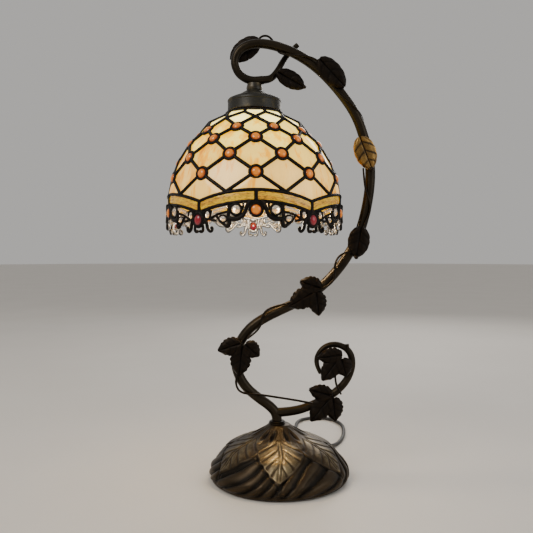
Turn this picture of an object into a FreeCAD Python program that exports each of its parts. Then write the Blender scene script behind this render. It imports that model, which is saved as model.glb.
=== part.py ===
import FreeCAD, Part
import math
import os

# Table lamp with a leaded-glass dome shade hung from a bent, vine-wound arm on a cast leaf base.
# Millimetres. +Z up, the arm lies in the XZ plane, the front is -Y.
# Origin: middle of the base where it stands on the table.

Vec = FreeCAD.Vector
UP = Vec(0, 0, 1)

# ---- driving dimensions -------------------------------------------------------------------------
BASE_RADIUS = 87.3
BASE_TOP = 66.5
FELT_THICKNESS = 2.0
SCREW_CIRCLE = 66.0
GLAND_HEIGHT = 9.0
STEM_X = -2.5
ARM_RADIUS = 6.2
ARM_BORE = 5.05
TAIL_RADIUS = 4.0
BRANCH_RADIUS = 5.0
NIPPLE_RADIUS = 5.0
NIPPLE_BORE = 3.5
WIRE_RADIUS = 1.9
VINE_RADIUS = 1.35
FRONT_VINE_Y = -8.3
FRONT_LEAF_Y = -12.3
LEAF_THICKNESS = 2.4

SHADE_X = -30.5
SHADE_TWIST = 2.0
BAYS = 5
COLUMNS = 2 * BAYS
DOME_CENTRE_Z = 350.0
GLASS = 2.6
CAME_RADIUS = 1.45
GLASS_MARGIN = 1.7
BEAD_RADIUS = 4.7
BORDER_RADIUS = 104.6
BORDER_PEAK_Z = 341.0
BORDER_DROP = 11.2
BORDER_HEIGHT = 8.4
SKIRT_RADIUS = 105.5

SOCKET_RADIUS = 16.5
BULB_RADIUS = 23.0
BULB_Z = 374.0
SCREW_RADIUS = 13.0
KNOB_Z = 433.0
KNOB_AZIMUTH = 150.0

CORD_RADIUS = 2.6
COIL_X = 8.0
COIL_Y = 131.0
COIL_RADIUS = 31.0
COIL_LIFT = 0.8
ARC_SHARE = 0.45

# Rows of the lattice's crossings: radius from the shade's axis, height, whether half a column round.
ROWS = {
    "ring": (35.0, 447.0, True),
    "F": (38.5, 443.0, True),
    "E": (56.0, 434.0, False),
    "D": (67.0, 421.6, True),
    "C": (79.6, 407.6, False),
    "B": (92.3, 387.8, True),
    "A": (100.4, 366.7, False),
    "foot": (104.0, 346.5, True),
}
BEADED = ("D", "C", "B", "A")

# The arm's centre line, (x, z), from the collar on the base round to the bottom of the top loop.
ARM = [
    (STEM_X, 67), (STEM_X, 78), (-11, 88.5), (-27, 99.5), (-42, 112.5), (-52, 130), (-54.5, 149),
    (-49.5, 167.5), (-37.5, 185), (-20, 197.5), (8, 211), (34, 223), (60, 243), (82, 270),
    (98, 299), (107, 330), (112, 362), (112, 390), (104.5, 420), (94, 449), (75, 476),
    (51, 502), (26, 520), (-2, 532), (-28, 536), (-48, 529.5), (-56, 514), (-51, 499),
    (-41, 491.5), (SHADE_X, 489), (-20, 490.5),
]
TAIL = [(-20, 0, 490.5), (-9.5, 0, 492), (-1, 5, 504), (5, 10, 517), (13, 12, 528), (23, 12, 537)]
BRANCH = [
    (STEM_X, 80.5), (19, 81.5), (44, 90.5), (68, 103.5), (84, 119.5), (91.5, 139), (88.5, 156.5),
    (74, 166), (57.5, 164), (47, 152.5), (46, 139), (51.5, 129.5),
]

# The free cord, hand laid: out of the bushing, down to the table, round a hook and back to the coil.
CORD_EXIT = Vec(62.5, 89.3, 8.5)
CORD_TO_COIL = [
    CORD_EXIT, Vec(71.5, 102.2, 7.0), Vec(82, 118.5, 2.7), Vec(92, 138, 2.6), Vec(99.5, 164, 2.6),
    Vec(104, 193, 2.6), Vec(105.5, 219, 2.6), Vec(101.5, 240, 2.6), Vec(92.5, 257, 2.6),
    Vec(77.5, 266.8, 2.6), Vec(59.5, 267.4, 2.6), Vec(43.5, 258.7, 2.6), Vec(34.5, 243, 2.6),
    Vec(31.5, 224, 2.6), Vec(30, 205, 2.6), Vec(24.5, 188, 2.7), Vec(13.5, 175.5, 3.2),
    Vec(-1.5, 168, 3.4),
]
CORD_TO_PLUG = [
    Vec(4, 161.5, 13.2), Vec(-12, 161.5, 12.2), Vec(-27, 156.5, 7.6), Vec(-38.5, 146.5, 5.2),
    Vec(-44.5, 132.5, 5.8), Vec(-45, 122, 6.6),
]
PLUG_FRONT_Y = 122.0


# ---- shape helpers ------------------------------------------------------------------------------
def save(name, shape):
    """Writes one sub-part, which has to be sound."""
    if not shape.isValid() or shape.Volume <= 0:
        raise ValueError(name + " is not a sound solid")
    shape.exportStep(os.path.join("parts", name + ".step"))


def group(shapes):
    """Identical or matching pieces that share one node."""
    return Part.makeCompound(shapes)


def turned(profile, x=0.0, y=0.0):
    """A ring or cup turned from its (radius, height) outline about a vertical axis."""
    loop = [Vec(x + r, y, z) for r, z in profile]
    face = Part.Face(Part.makePolygon(loop + loop[:1]))
    return face.revolve(Vec(x, y, 0), UP, 360)


def disc(radius, low, high, x=0.0, y=0.0):
    """An upright round plate."""
    return Part.makeCylinder(radius, high - low, Vec(x, y, low))


def sleeve(outer, inner, low, high, x=0.0, y=0.0):
    """An upright round tube."""
    return disc(outer, low, high, x, y).cut(disc(inner, low - 1, high + 1, x, y))


def hex_nut(across_flats, bore, low, high, x=0.0):
    """An upright six-sided nut."""
    corner = across_flats / math.sqrt(3)
    turns = [math.radians(60 * k) for k in range(6)]
    loop = [Vec(x + corner * math.cos(a), corner * math.sin(a), low) for a in turns]
    body = Part.Face(Part.makePolygon(loop + loop[:1])).extrude(Vec(0, 0, high - low))
    return body.cut(disc(bore, low - 1, high + 1, x))


def rounded_route(points):
    """Straight runs joined by tangent arcs, with the arcs' radii."""
    edges = []
    radii = []
    start = points[0]
    for before, corner, after in zip(points, points[1:], points[2:]):
        back = before - corner
        ahead = after - corner
        half_turn = (math.pi - back.getAngle(ahead)) / 2
        reach = ARC_SHARE * min(back.Length, ahead.Length)
        radius = reach / math.tan(half_turn)
        back.normalize()
        ahead.normalize()
        inward = (back + ahead).normalize()
        first = corner + back * reach
        last = corner + ahead * reach
        middle = corner + inward * (radius / math.cos(half_turn) - radius)
        edges.append(Part.LineSegment(start, first).toShape())
        edges.append(Part.Arc(first, middle, last).toShape())
        radii.append(radius)
        start = last
    edges.append(Part.LineSegment(start, points[-1]).toShape())
    return Part.Wire(edges), radii


def rod(points, radius):
    """A round bar bent along a route."""
    route, _ = rounded_route(points)
    end = Part.makeCircle(radius, points[0], points[1] - points[0])
    return route.makePipe(Part.Face(Part.Wire(end)))


def flat(points, y=0.0):
    """Route points from (x, z) pairs in a plane across Y."""
    return [Vec(x, y, z) for x, z in points]


# ---- base ---------------------------------------------------------------------------------------
def make_base():
    low = FELT_THICKNESS
    outside = [(84, low), (BASE_RADIUS, 7), (85.2, 17), (75.5, 28), (65.6, 39), (48, 47.7), (36, 52.6),
               (21, 61), (13, BASE_TOP)]
    inside = [(17.5, 57), (34, 48.6), (46, 43.9), (63, 35.6), (72.2, 25.6), (81.5, 15.6), (83.4, 7),
              (80.5, low)]
    casting = turned([(0, BASE_TOP)] + [(0, 61)] + inside + outside)
    bosses = []
    for a in plate_screw_turns():
        bosses.append(disc(5.0, low + 3.6, 32, *screw_place(a)))
    casting = casting.fuse(bosses)
    for a in plate_screw_turns():
        casting = casting.cut(disc(2.05, low, 27.5, *screw_place(a)))
    exit_way = Vec(0.574, 0.819, 0).normalize()
    hole = Part.makeCylinder(4.1, 40, exit_way * 60 + Vec(0, 0, GLAND_HEIGHT), exit_way)
    casting = casting.cut(disc(NIPPLE_RADIUS + 0.2, 55, 70, STEM_X)).cut(hole)
    save("base_casting", casting)

    grip = Part.makeCylinder(4.0, 9, exit_way * 79.6 + Vec(0, 0, GLAND_HEIGHT), exit_way)
    flange = Part.makeCylinder(5.3, 1.6, exit_way * 78 + Vec(0, 0, GLAND_HEIGHT), exit_way)
    wire_way = Part.makeCylinder(WIRE_RADIUS + 0.3, 30, exit_way * 70 + Vec(0, 0, GLAND_HEIGHT), exit_way)
    boot_start = exit_way * 88.6 + Vec(0, 0, GLAND_HEIGHT)
    boot_way = CORD_EXIT - boot_start
    boot = Part.makeCone(4.4, 3.3, boot_way.Length, boot_start, boot_way)
    save("cord_bushing", grip.fuse([flange, boot]).cut(wire_way).removeSplitter())

    save("felt_pad", disc(79.5, 0, low))
    plate = disc(80.0, low, low + 1.5)
    feet = [disc(2.2, low - 1, low + 3, *screw_place(a)) for a in plate_screw_turns()]
    save("base_cover_plate", plate.cut(group(feet)))
    screws = []
    for a in plate_screw_turns():
        x, y = screw_place(a)
        screws.append(disc(2.0, low, 27, x, y).fuse(disc(3.8, low + 1.5, low + 3.5, x, y)))
    save("plate_screws", group(screws))

    ballast_low = 17.0
    save("base_ballast", sleeve(56, NIPPLE_RADIUS + 0.2, ballast_low, 34.5, STEM_X))
    save("ballast_washer", sleeve(11, NIPPLE_RADIUS + 0.1, ballast_low - 1.4, ballast_low, STEM_X))
    save("stem_lock_nut", hex_nut(15, NIPPLE_RADIUS + 0.05, 11.2, ballast_low - 1.4, STEM_X))
    save("stem_nipple", sleeve(NIPPLE_RADIUS, NIPPLE_BORE, 11, 71.5, STEM_X))
    bore = ARM_RADIUS + 0.3
    collar = [(bore, BASE_TOP), (9.6, BASE_TOP), (10.6, BASE_TOP + 1.2), (10.2, BASE_TOP + 3),
              (8.8, BASE_TOP + 4), (bore, BASE_TOP + 4)]
    save("collar_ring", turned(collar, STEM_X))


def plate_screw_turns():
    """Where the cover plate's three screws sit round the base."""
    return [math.radians(a) for a in (100, 220, 340)]


def screw_place(turn):
    """Where a cover plate screw stands, (x, y)."""
    return SCREW_CIRCLE * math.cos(turn), SCREW_CIRCLE * math.sin(turn)


# ---- arm, branch and the wire inside --------------------------------------------------------------
def make_arm():
    line = flat(ARM)
    outer = rod(line, ARM_RADIUS)
    # The bore takes the stem nipple at the base, and a hole under the loop takes the neck nipple.
    tube = outer.cut(rod(line, ARM_BORE)).cut(disc(NIPPLE_RADIUS + 0.05, 478, 489, SHADE_X))
    save("arm_tube", tube)

    tail_line = [Vec(*p) for p in TAIL]
    first_run = tail_line[1] - tail_line[0]
    tail = rod(tail_line, TAIL_RADIUS)
    root = Part.makeCone(ARM_RADIUS - 0.2, TAIL_RADIUS + 0.5, 5, tail_line[0], first_run)
    save("loop_tail", tail.fuse(root))

    branch = rod(flat(BRANCH), BRANCH_RADIUS)
    save("branch", branch.cut(outer))

    inlet = [Vec(45.5, 64.9, 9), Vec(30, 43, 7.5), Vec(16, 25, 6.4), Vec(6.6, 12.5, 6.1), Vec(STEM_X, 0, 6)]
    to_neck = flat(ARM[1:-1]) + [Vec(SHADE_X, 0, 447)]
    save("lead_in_arm", rod(inlet + to_neck, WIRE_RADIUS))


# ---- leaves and vines ------------------------------------------------------------------------------
def leaf_blade(base, tip, width, front):
    """A pointed oval leaf blade lying across Y, with its front face at the given depth."""
    along = Vec(tip[0] - base[0], 0, tip[1] - base[1])
    across = Vec(-along.z, 0, along.x).normalize()
    start = Vec(base[0], front, base[1])
    half = [(0, 0.10), (0.2, 0.38), (0.45, 0.5), (0.72, 0.36), (0.93, 0.12)]
    left = [start + along * s + across * (w * width) for s, w in half]
    right = [start + along * s - across * (w * width) for s, w in reversed(half)]
    loop = left + [start + along] + right
    face = Part.Face(Part.makePolygon(loop + loop[:1]))
    return face.extrude(Vec(0, LEAF_THICKNESS, 0))


def make_leaves():
    single = {
        "leaf_loop_top": ((-25, 543.5), (-60, 518), 25, 9.6),
        "leaf_hanging": ((-2, 499.5), (31, 480), 19, -8.2),
        "leaf_shoulder": ((48, 514), (79, 480), 25, FRONT_LEAF_Y),
        "leaf_arm_upper": ((99, 419), (114, 380), 27, FRONT_LEAF_Y),
        "leaf_arm_lower": ((99.5, 310), (93.5, 271), 26, FRONT_LEAF_Y),
    }
    for name, (base, tip, width, front) in single.items():
        save(name, leaf_blade(base, tip, width, front))

    clusters = {
        "ivy_middle": [((43, 233), (27, 246), 20), ((38, 229), (12, 214), 22), ((46, 229), (49, 202), 22)],
        "ivy_left": [((-48, 168), (-75, 159), 21), ((-42, 167), (-25, 152), 20),
                     ((-46, 160), (-50, 127), 24)],
        "ivy_curl": [((76, 153.5), (47, 150), 17), ((71, 146), (53, 122), 19), ((76, 147), (82, 127), 18)],
        "ivy_branch": [((62, 104), (37, 111), 19), ((60, 99), (39, 71), 25), ((67, 98), (69, 71), 21)],
    }
    for name, blades in clusters.items():
        cut_apart = []
        for base, tip, width in blades:
            blade = leaf_blade(base, tip, width, FRONT_LEAF_Y)
            for placed in cut_apart:
                blade = blade.cut(placed)
            cut_apart.append(blade)
        save(name, group(cut_apart))


def make_vines():
    routes = [
        ([(-27, 540), (-24, 545), (-17.5, 548.4), (-11, 545.5), (-7, 539), (-1.5, 525)], 8.0),
        ([(3.5, 521), (25, 523.5), (42, 520.5), (52.5, 511), (56.5, 498), (63.5, 485),
          (76, 472.5), (89, 462), (98, 452), (102, 440), (101.5, 426), (100.5, 415)], FRONT_VINE_Y),
        ([(101.5, 382), (105.5, 364), (110, 344), (107.5, 324), (101, 306)], FRONT_VINE_Y),
        ([(92, 280), (79, 278.5), (69.5, 271), (67.5, 258), (69, 247), (60, 237.5), (49, 234)],
         FRONT_VINE_Y),
        ([(38, 226), (11, 217), (-9, 210.5), (-19.5, 203.5), (-21.5, 191), (-30.5, 180),
          (-41, 172)], FRONT_VINE_Y),
        ([(-48, 142), (-54, 124), (-50.5, 110), (-36, 105), (1, 100.5), (26, 97), (48, 92)],
         FRONT_VINE_Y),
        ([(72, 110), (68.5, 121), (68.5, 135)], FRONT_VINE_Y),
    ]
    save("vine_wires", group([rod(flat(points, depth), VINE_RADIUS) for points, depth in routes]))


# ---- neck, cap and socket ----------------------------------------------------------------------------
def make_neck_and_socket():
    arm = rod(flat(ARM), ARM_RADIUS)
    cap_seat = 478.0
    bore = NIPPLE_RADIUS + 0.05
    coupling = turned([(bore, cap_seat), (9.6, cap_seat), (9.9, 480.5), (8.6, 486), (bore, 486)], SHADE_X)
    save("neck_coupling", coupling.cut(arm))
    save("neck_nipple", sleeve(NIPPLE_RADIUS, NIPPLE_BORE, 460, 486, SHADE_X))
    cap = [(bore, cap_seat), (9.5, cap_seat), (13.5, 475.6), (20, 471.6), (27, 468.6), (32, 466.4),
           (33, 464), (33, 451.5), (31.8, 451.5), (31.8, 463.4), (31.2, 465.2), (26.5, 467.3),
           (19.4, 470.3), (12.9, 474.4), (9, 476.7), (bore, 476.7)]
    save("shade_cap", turned(cap, SHADE_X))
    save("cap_lock_nut", hex_nut(14, bore, 472.6, 476.7, SHADE_X))

    shell_top = 466.0
    shell = [(bore, shell_top), (9, shell_top), (SOCKET_RADIUS, 458), (SOCKET_RADIUS, 404), (15.7, 404),
             (15.7, 457.6), (8.7, 465.2), (bore, 465.2)]
    knob_way = knob_direction()
    knob_hole = Part.makeCylinder(2.6, 20, knob_centre(8), knob_way)
    save("socket_shell", turned(shell, SHADE_X).cut(knob_hole))
    core = turned([(4.5, 445), (4.5, 450), (0, 450), (0, 426), (15.5, 426), (15.5, 445)], SHADE_X)
    wire_room = disc(WIRE_RADIUS + 0.2, 440, 451, SHADE_X + 0.1)
    shaft_bore = Part.makeCylinder(2.05, 30, knob_centre(5), knob_way)
    save("socket_core", core.cut(wire_room).cut(shaft_bore))
    save("socket_screw_shell", sleeve(SCREW_RADIUS + 0.8, SCREW_RADIUS + 0.1, 405, 425.9, SHADE_X))
    save("socket_contact", disc(4, 424.6, 426, SHADE_X))
    save("retaining_ring", sleeve(22, SOCKET_RADIUS + 0.05, 441.5, 445, SHADE_X))

    shaft = Part.makeCylinder(2.0, 17, knob_centre(5.2), knob_way)
    grip = Part.makeCylinder(5.4, 12, knob_centre(22), knob_way)
    save("switch_knob", grip.fuse(shaft))


def knob_direction():
    """The way the switch knob's shaft points out of the socket."""
    a = math.radians(KNOB_AZIMUTH)
    return Vec(math.sin(a), -math.cos(a), 0)


def knob_centre(distance):
    """A point on the switch shaft, that far from the socket's axis."""
    return Vec(SHADE_X, 0, KNOB_Z) + knob_direction() * distance


def make_bulb():
    neck = SCREW_RADIUS - 0.8
    glass = Part.makeSphere(BULB_RADIUS, Vec(SHADE_X, 0, BULB_Z)).fuse(disc(neck, BULB_Z, 400, SHADE_X))
    wall = 0.8
    hollow = Part.makeSphere(BULB_RADIUS - wall, Vec(SHADE_X, 0, BULB_Z))
    hollow = hollow.fuse(disc(neck - wall, BULB_Z, 401, SHADE_X))
    save("bulb_globe", glass.cut(hollow))
    post = [(0, 376), (2.6, 376), (2.6, 398), (10.8, 399), (10.8, 401), (0, 401)]
    save("bulb_filament", turned(post, SHADE_X))
    cup = [(SCREW_RADIUS - 0.6, 397), (SCREW_RADIUS, 397), (SCREW_RADIUS, 418.5), (9.5, 421), (8.9, 420.5),
           (SCREW_RADIUS - 0.6, 418)]
    save("bulb_screw_base", turned(cup, SHADE_X))
    washer = [(3.6, 420.6), (8.7, 420.6), (8.7, 421), (4.6, 422.6), (3.6, 422.6)]
    save("bulb_insulator", turned(washer, SHADE_X))
    save("bulb_contact", disc(3.5, 421.4, 423.8, SHADE_X))


# ---- shade ---------------------------------------------------------------------------------------------
def on_shade(radius, turn, height):
    """A point on the shade; turn in degrees from the front, measured to the right."""
    a = math.radians(turn + SHADE_TWIST)
    return Vec(SHADE_X + radius * math.sin(a), -radius * math.cos(a), height)


def crossing(row, turn):
    """A crossing of the leading."""
    radius, height, _ = ROWS[row]
    return on_shade(radius, turn, height)


def outward(point):
    """The way out of the dome at a point."""
    return (point - Vec(SHADE_X, 0, min(DOME_CENTRE_Z, point.z))).normalize()


def clipped(loop, point, away):
    """The part of a flat convex loop behind a plane."""
    kept = []
    for a, b in zip(loop, loop[1:] + loop[:1]):
        side_a = (a - point).dot(away)
        side_b = (b - point).dot(away)
        if side_a <= 0:
            kept.append(a)
        if side_a * side_b < 0:
            kept.append(a + (b - a) * (side_a / (side_a - side_b)))
    return kept


def pane(corners, beaded=()):
    """A flat glass piece in one cell of the leading, its beaded corners cut off."""
    middle = sum(corners, Vec()) * (1.0 / len(corners))
    normal = Vec()
    for a, b in zip(corners, corners[1:] + corners[:1]):
        normal += (a - middle).cross(b - middle)
    normal.normalize()
    if normal.dot(outward(middle)) < 0:
        normal = normal * -1
    level = [p - normal * (p - middle).dot(normal) for p in corners]
    loop = level
    for a, b in zip(level, level[1:] + level[:1]):
        away = (b - a).cross(normal).normalize()
        if away.dot(middle - a) > 0:
            away = away * -1
        loop = clipped(loop, a - away * GLASS_MARGIN, away)
    for index in beaded:
        away = (level[index] - middle).normalize()
        loop = clipped(loop, level[index] - away * (BEAD_RADIUS + 0.6), away)
    face = Part.Face(Part.makePolygon(loop + loop[:1]))
    face.translate(normal * (-GLASS / 2))
    return face.extrude(normal * GLASS)


def cabochon(point, way, radius, rise):
    """A domed glass jewel with a flat back."""
    ball = (radius * radius + rise * rise) / (2 * rise)
    lift = ball - rise
    start = math.degrees(math.asin(lift / ball))
    return Part.makeSphere(ball, point - way * lift, way, start, 90, 360)


def border_z(turn):
    """Height of the middle of the border, which arches in each bay and dips between bays."""
    step = 360.0 / BAYS
    from_peak = abs((turn + step / 2) % step - step / 2)
    return BORDER_PEAK_Z - BORDER_DROP * (from_peak / (step / 2)) ** 2


def make_panes():
    step = 360.0 / COLUMNS
    half = step / 2
    tiers = {1: [], 2: [], 3: [], 4: [], 5: [], 6: [], 7: []}
    diamonds = {2: ("F", "E", "D", (3,)), 3: ("E", "D", "C", (1, 2, 3)), 4: ("D", "C", "B", (0, 1, 2, 3)),
                5: ("C", "B", "A", (0, 1, 2, 3)), 6: ("B", "A", "foot", (0, 1, 2))}
    for k in range(COLUMNS):
        turn = k * step
        tiers[1].append(pane([crossing("ring", turn - half), crossing("ring", turn + half),
                              crossing("F", turn + half), crossing("E", turn), crossing("F", turn - half)]))
        for tier, (top, side, low, beaded) in diamonds.items():
            centre = turn + (half if ROWS[top][2] else 0)
            cell = [crossing(top, centre), crossing(side, centre + half), crossing(low, centre),
                    crossing(side, centre - half)]
            marks = [{0: 0, 1: 1, 2: 3, 3: 2}[m] for m in beaded]
            tiers[tier].append(pane(cell, marks))
        foot_z = 349.5 if k % 2 == 0 else 347.0
        lower = [on_shade(103.9, turn + half - 5, foot_z), on_shade(103.9, turn - half + 5, foot_z)]
        if k % 2 == 1:
            lower.insert(1, on_shade(104.2, turn, 339.5))
        tiers[7].append(pane([crossing("A", turn)] + lower, (0,)))
    for tier, panes in tiers.items():
        save("glass_tier_%d" % tier, group(panes))


def make_leading():
    step = 360.0 / COLUMNS
    half = step / 2
    names = ["F", "E", "D", "C", "B", "A", "foot"]
    bars = []
    for upper, lower in zip(names, names[1:]):
        for k in range(COLUMNS):
            top_turn = k * step + (half if ROWS[upper][2] else 0)
            for side in (-half, half):
                a = crossing(upper, top_turn)
                b = crossing(lower, top_turn + side)
                way = (b - a).normalize()
                trim_a = BEAD_RADIUS + 0.3 if upper in BEADED else 3.0
                trim_b = BEAD_RADIUS + 0.3 if lower in BEADED else 3.0
                length = (b - a).Length - trim_a - trim_b
                bars.append(Part.makeCylinder(CAME_RADIUS, length, a + way * trim_a, way))
    return bars


def make_border():
    step = 360.0 / COLUMNS
    reach = BORDER_HEIGHT / 2
    strips = []
    for k in range(COLUMNS):
        sections = []
        for turn in (0.9, 9, 18, 27, step - 0.9):
            z = border_z(k * step + turn)
            inner, outer = BORDER_RADIUS - 1.5, BORDER_RADIUS + 1.2
            angle = k * step + turn
            loop = [on_shade(inner, angle, z - reach), on_shade(outer, angle, z - reach),
                    on_shade(outer, angle, z + reach), on_shade(inner, angle, z + reach)]
            sections.append(Part.makePolygon(loop + loop[:1]))
        strips.append(Part.makeLoft(sections, True, True))
    save("border_glass", group(strips))

    rails = []
    for k in range(BAYS):
        middle = k * 360.0 / BAYS
        turns = [-35.4, -27, -18, -9, 0, 9, 18, 27, 35.4]
        for offset in (-1, 1):
            rise = offset * (reach + CAME_RADIUS + 0.2)
            line = [on_shade(BORDER_RADIUS, middle + t, border_z(middle + t) + rise) for t in turns]
            rails.append(rod(line, CAME_RADIUS))
    return rails


def make_skirt():
    """Jewels and black scrollwork hanging below the border, mirrored about each bay's middle."""
    degree = math.radians(1) * SKIRT_RADIUS
    amber = [crossing(row, k * 36 + (18 if ROWS[row][2] else 0)) for row in BEADED for k in range(COLUMNS)]
    ambers = [cabochon(p, outward(p), BEAD_RADIUS, 3.2) for p in amber]
    rubies = []
    jewels = []
    strips = []
    scrolls = []
    for bay in range(BAYS):
        middle = bay * 360.0 / BAYS
        drop = on_shade(SKIRT_RADIUS, middle, 325.6)
        ambers.append(cabochon(drop, outward(drop), 5.6, 3.6))
        low = on_shade(SKIRT_RADIUS + 1, middle + 36, 314.5)
        rubies.append(cabochon(low, outward(low), 5.6, 3.8))
        for side in (-1, 1):
            def at(s, z, radius=SKIRT_RADIUS):
                return on_shade(radius, middle + side * s / degree, z)
            for s, z, size in ((23.2, 325.6, 4.9), (35.2, 317.2, 4.2), (54.8, 319.2, 3.0)):
                spot = at(s, z)
                jewels.append(cabochon(spot, outward(spot), size, 3.0))
            bar = at(38.2, 325.6)
            bar_way = (at(47.5, 322.8) - at(29.5, 328.2)).normalize()
            strips.append(Part.makeCylinder(2.3, 17.5, bar - bar_way * 8.75, bar_way))
            swag = [at(9.4, 331.2), at(9.8, 324), at(15.5, 317.5), at(25, 316.5), at(30, 309.5)]
            curl = [at(40.8, 316.2), at(49, 312.6), at(57.4, 307.6), at(58, 301.8), at(52.5, 301.2),
                    at(51.2, 304.6)]
            scrolls.append(rod(swag, 1.5))
            scrolls.append(rod(curl, 1.5))
    save("amber_cabochons", group(ambers))
    save("ruby_cabochons", group(rubies))
    save("clear_jewels", group(jewels + strips))
    save("scrollwork", group(scrolls))


def make_heel_ring():
    """Brass ring soldered into the top of the shade, with three arms to the ring round the socket."""
    low = 445.2
    hub = sleeve(23, SOCKET_RADIUS + 0.35, low, low + 1.5, SHADE_X)
    rim = sleeve(33.6, 31, low, 450, SHADE_X)
    arms = []
    for k in range(3):
        turn = 120.0 * k
        bar = Part.makeBox(10, 5, 1.5, Vec(22, -2.5, low))
        bar.rotate(Vec(0, 0, 0), UP, turn)
        bar.translate(Vec(SHADE_X, 0, 0))
        arms.append(bar)
    save("heel_ring", hub.fuse([rim] + arms))


# ---- cord and plug -----------------------------------------------------------------------------------
def make_cord():
    section = math.pi * CORD_RADIUS ** 2
    for name, points in (("lead_to_coil", CORD_TO_COIL), ("lead_to_plug", CORD_TO_PLUG)):
        route, radii = rounded_route(points)
        tube = rod(points, CORD_RADIUS)
        save(name, tube)
        print(name, "radii", ["%.1f" % r for r in radii], "length %.1f" % route.Length,
              "volume / (section x length) %.4f" % (tube.Volume / (section * route.Length)))
    low = COIL_LIFT
    outline = [(-8.0, 0), (8.0, 0), (8.0, 5.4), (5.6, 9.4), (5.6, 14.9), (-5.6, 14.9), (-5.6, 9.4),
               (-8.0, 5.4)]
    profile = [(COIL_RADIUS + r, low + z) for r, z in outline]
    save("lead_coil", turned(profile, COIL_X, COIL_Y))
    band = Part.makeBox(18.4, 8, 16.7, Vec(COIL_X + COIL_RADIUS - 9.2, COIL_Y - 4, 0))
    room = Part.makeBox(17.0, 9, 15.1, Vec(COIL_X + COIL_RADIUS - 8.6, COIL_Y - 4.5, low))
    save("lead_tie", band.cut(room))

    body = Part.makeBox(18, 25, 13, Vec(-54, PLUG_FRONT_Y - 25, 0))
    body = body.makeChamfer(2.5, [e for e in body.Edges if abs(e.tangentAt(0).y) > 0.9])
    save("plug_body", body)
    blades = [Part.makeBox(1.5, 17, 6.3, Vec(x, PLUG_FRONT_Y - 42, 3.4)) for x in (-52.1, -39.4)]
    save("plug_blades", group(blades))


os.makedirs("parts", exist_ok=True)
make_base()
make_arm()
make_leaves()
make_vines()
make_neck_and_socket()
make_bulb()
make_panes()
save("came_lattice", group(make_leading() + make_border()))
make_skirt()
make_heel_ring()
make_cord()
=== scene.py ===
import logging
import math
import random
from collections.abc import Callable
from dataclasses import dataclass
from enum import Enum

import bpy
from mathutils import Matrix, Vector


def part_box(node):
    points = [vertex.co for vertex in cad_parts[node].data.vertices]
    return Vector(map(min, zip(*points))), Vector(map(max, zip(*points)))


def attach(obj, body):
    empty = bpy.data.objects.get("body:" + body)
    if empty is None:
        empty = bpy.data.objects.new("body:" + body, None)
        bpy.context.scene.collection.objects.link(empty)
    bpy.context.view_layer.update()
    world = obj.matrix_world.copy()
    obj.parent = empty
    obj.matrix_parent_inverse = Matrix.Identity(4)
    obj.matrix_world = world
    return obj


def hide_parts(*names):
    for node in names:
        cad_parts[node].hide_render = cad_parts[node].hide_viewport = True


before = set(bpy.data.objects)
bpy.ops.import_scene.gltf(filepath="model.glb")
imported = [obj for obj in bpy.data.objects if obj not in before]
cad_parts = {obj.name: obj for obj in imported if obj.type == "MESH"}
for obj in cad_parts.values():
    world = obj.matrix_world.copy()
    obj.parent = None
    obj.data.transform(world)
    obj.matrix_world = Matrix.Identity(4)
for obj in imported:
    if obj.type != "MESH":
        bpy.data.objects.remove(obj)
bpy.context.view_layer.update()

# Table lamp: a leaded-glass dome hung from a bent bronze arm on a cast base of leaves.
# Lengths are millimetres until they reach a mesh or a curve, which are metres.
MM = 0.001
log = logging.getLogger("lamp")

Colour = tuple[float, float, float]
Place = Callable[[float, float], tuple[Vector, float]]


# ---- shader graph --------------------------------------------------------------------------------
class Sock:
    """A node's output that plain arithmetic works on; each operation adds a Math node."""

    def __init__(self, graph: "Graph", socket: bpy.types.NodeSocket) -> None:
        """Wraps a socket of a graph."""
        self.graph = graph
        self.socket = socket

    def join(self, operation: str, first: "Sock | float", second: "Sock | float") -> "Sock":
        """Adds one Math node on two values.

        Args:
            operation: the Math node's operation.
            first: the value on the left.
            second: the value on the right.

        Returns:
            The result's socket.
        """
        return self.graph.node("ShaderNodeMath", {"operation": operation}, {0: first, 1: second})

    def __add__(self, other: "Sock | float") -> "Sock":
        """Sum."""
        return self.join("ADD", self, other)

    def __radd__(self, other: float) -> "Sock":
        """Sum, reflected."""
        return self.join("ADD", other, self)

    def __sub__(self, other: "Sock | float") -> "Sock":
        """Difference."""
        return self.join("SUBTRACT", self, other)

    def __rsub__(self, other: float) -> "Sock":
        """Difference, reflected."""
        return self.join("SUBTRACT", other, self)

    def __mul__(self, other: "Sock | float") -> "Sock":
        """Product."""
        return self.join("MULTIPLY", self, other)


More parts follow.
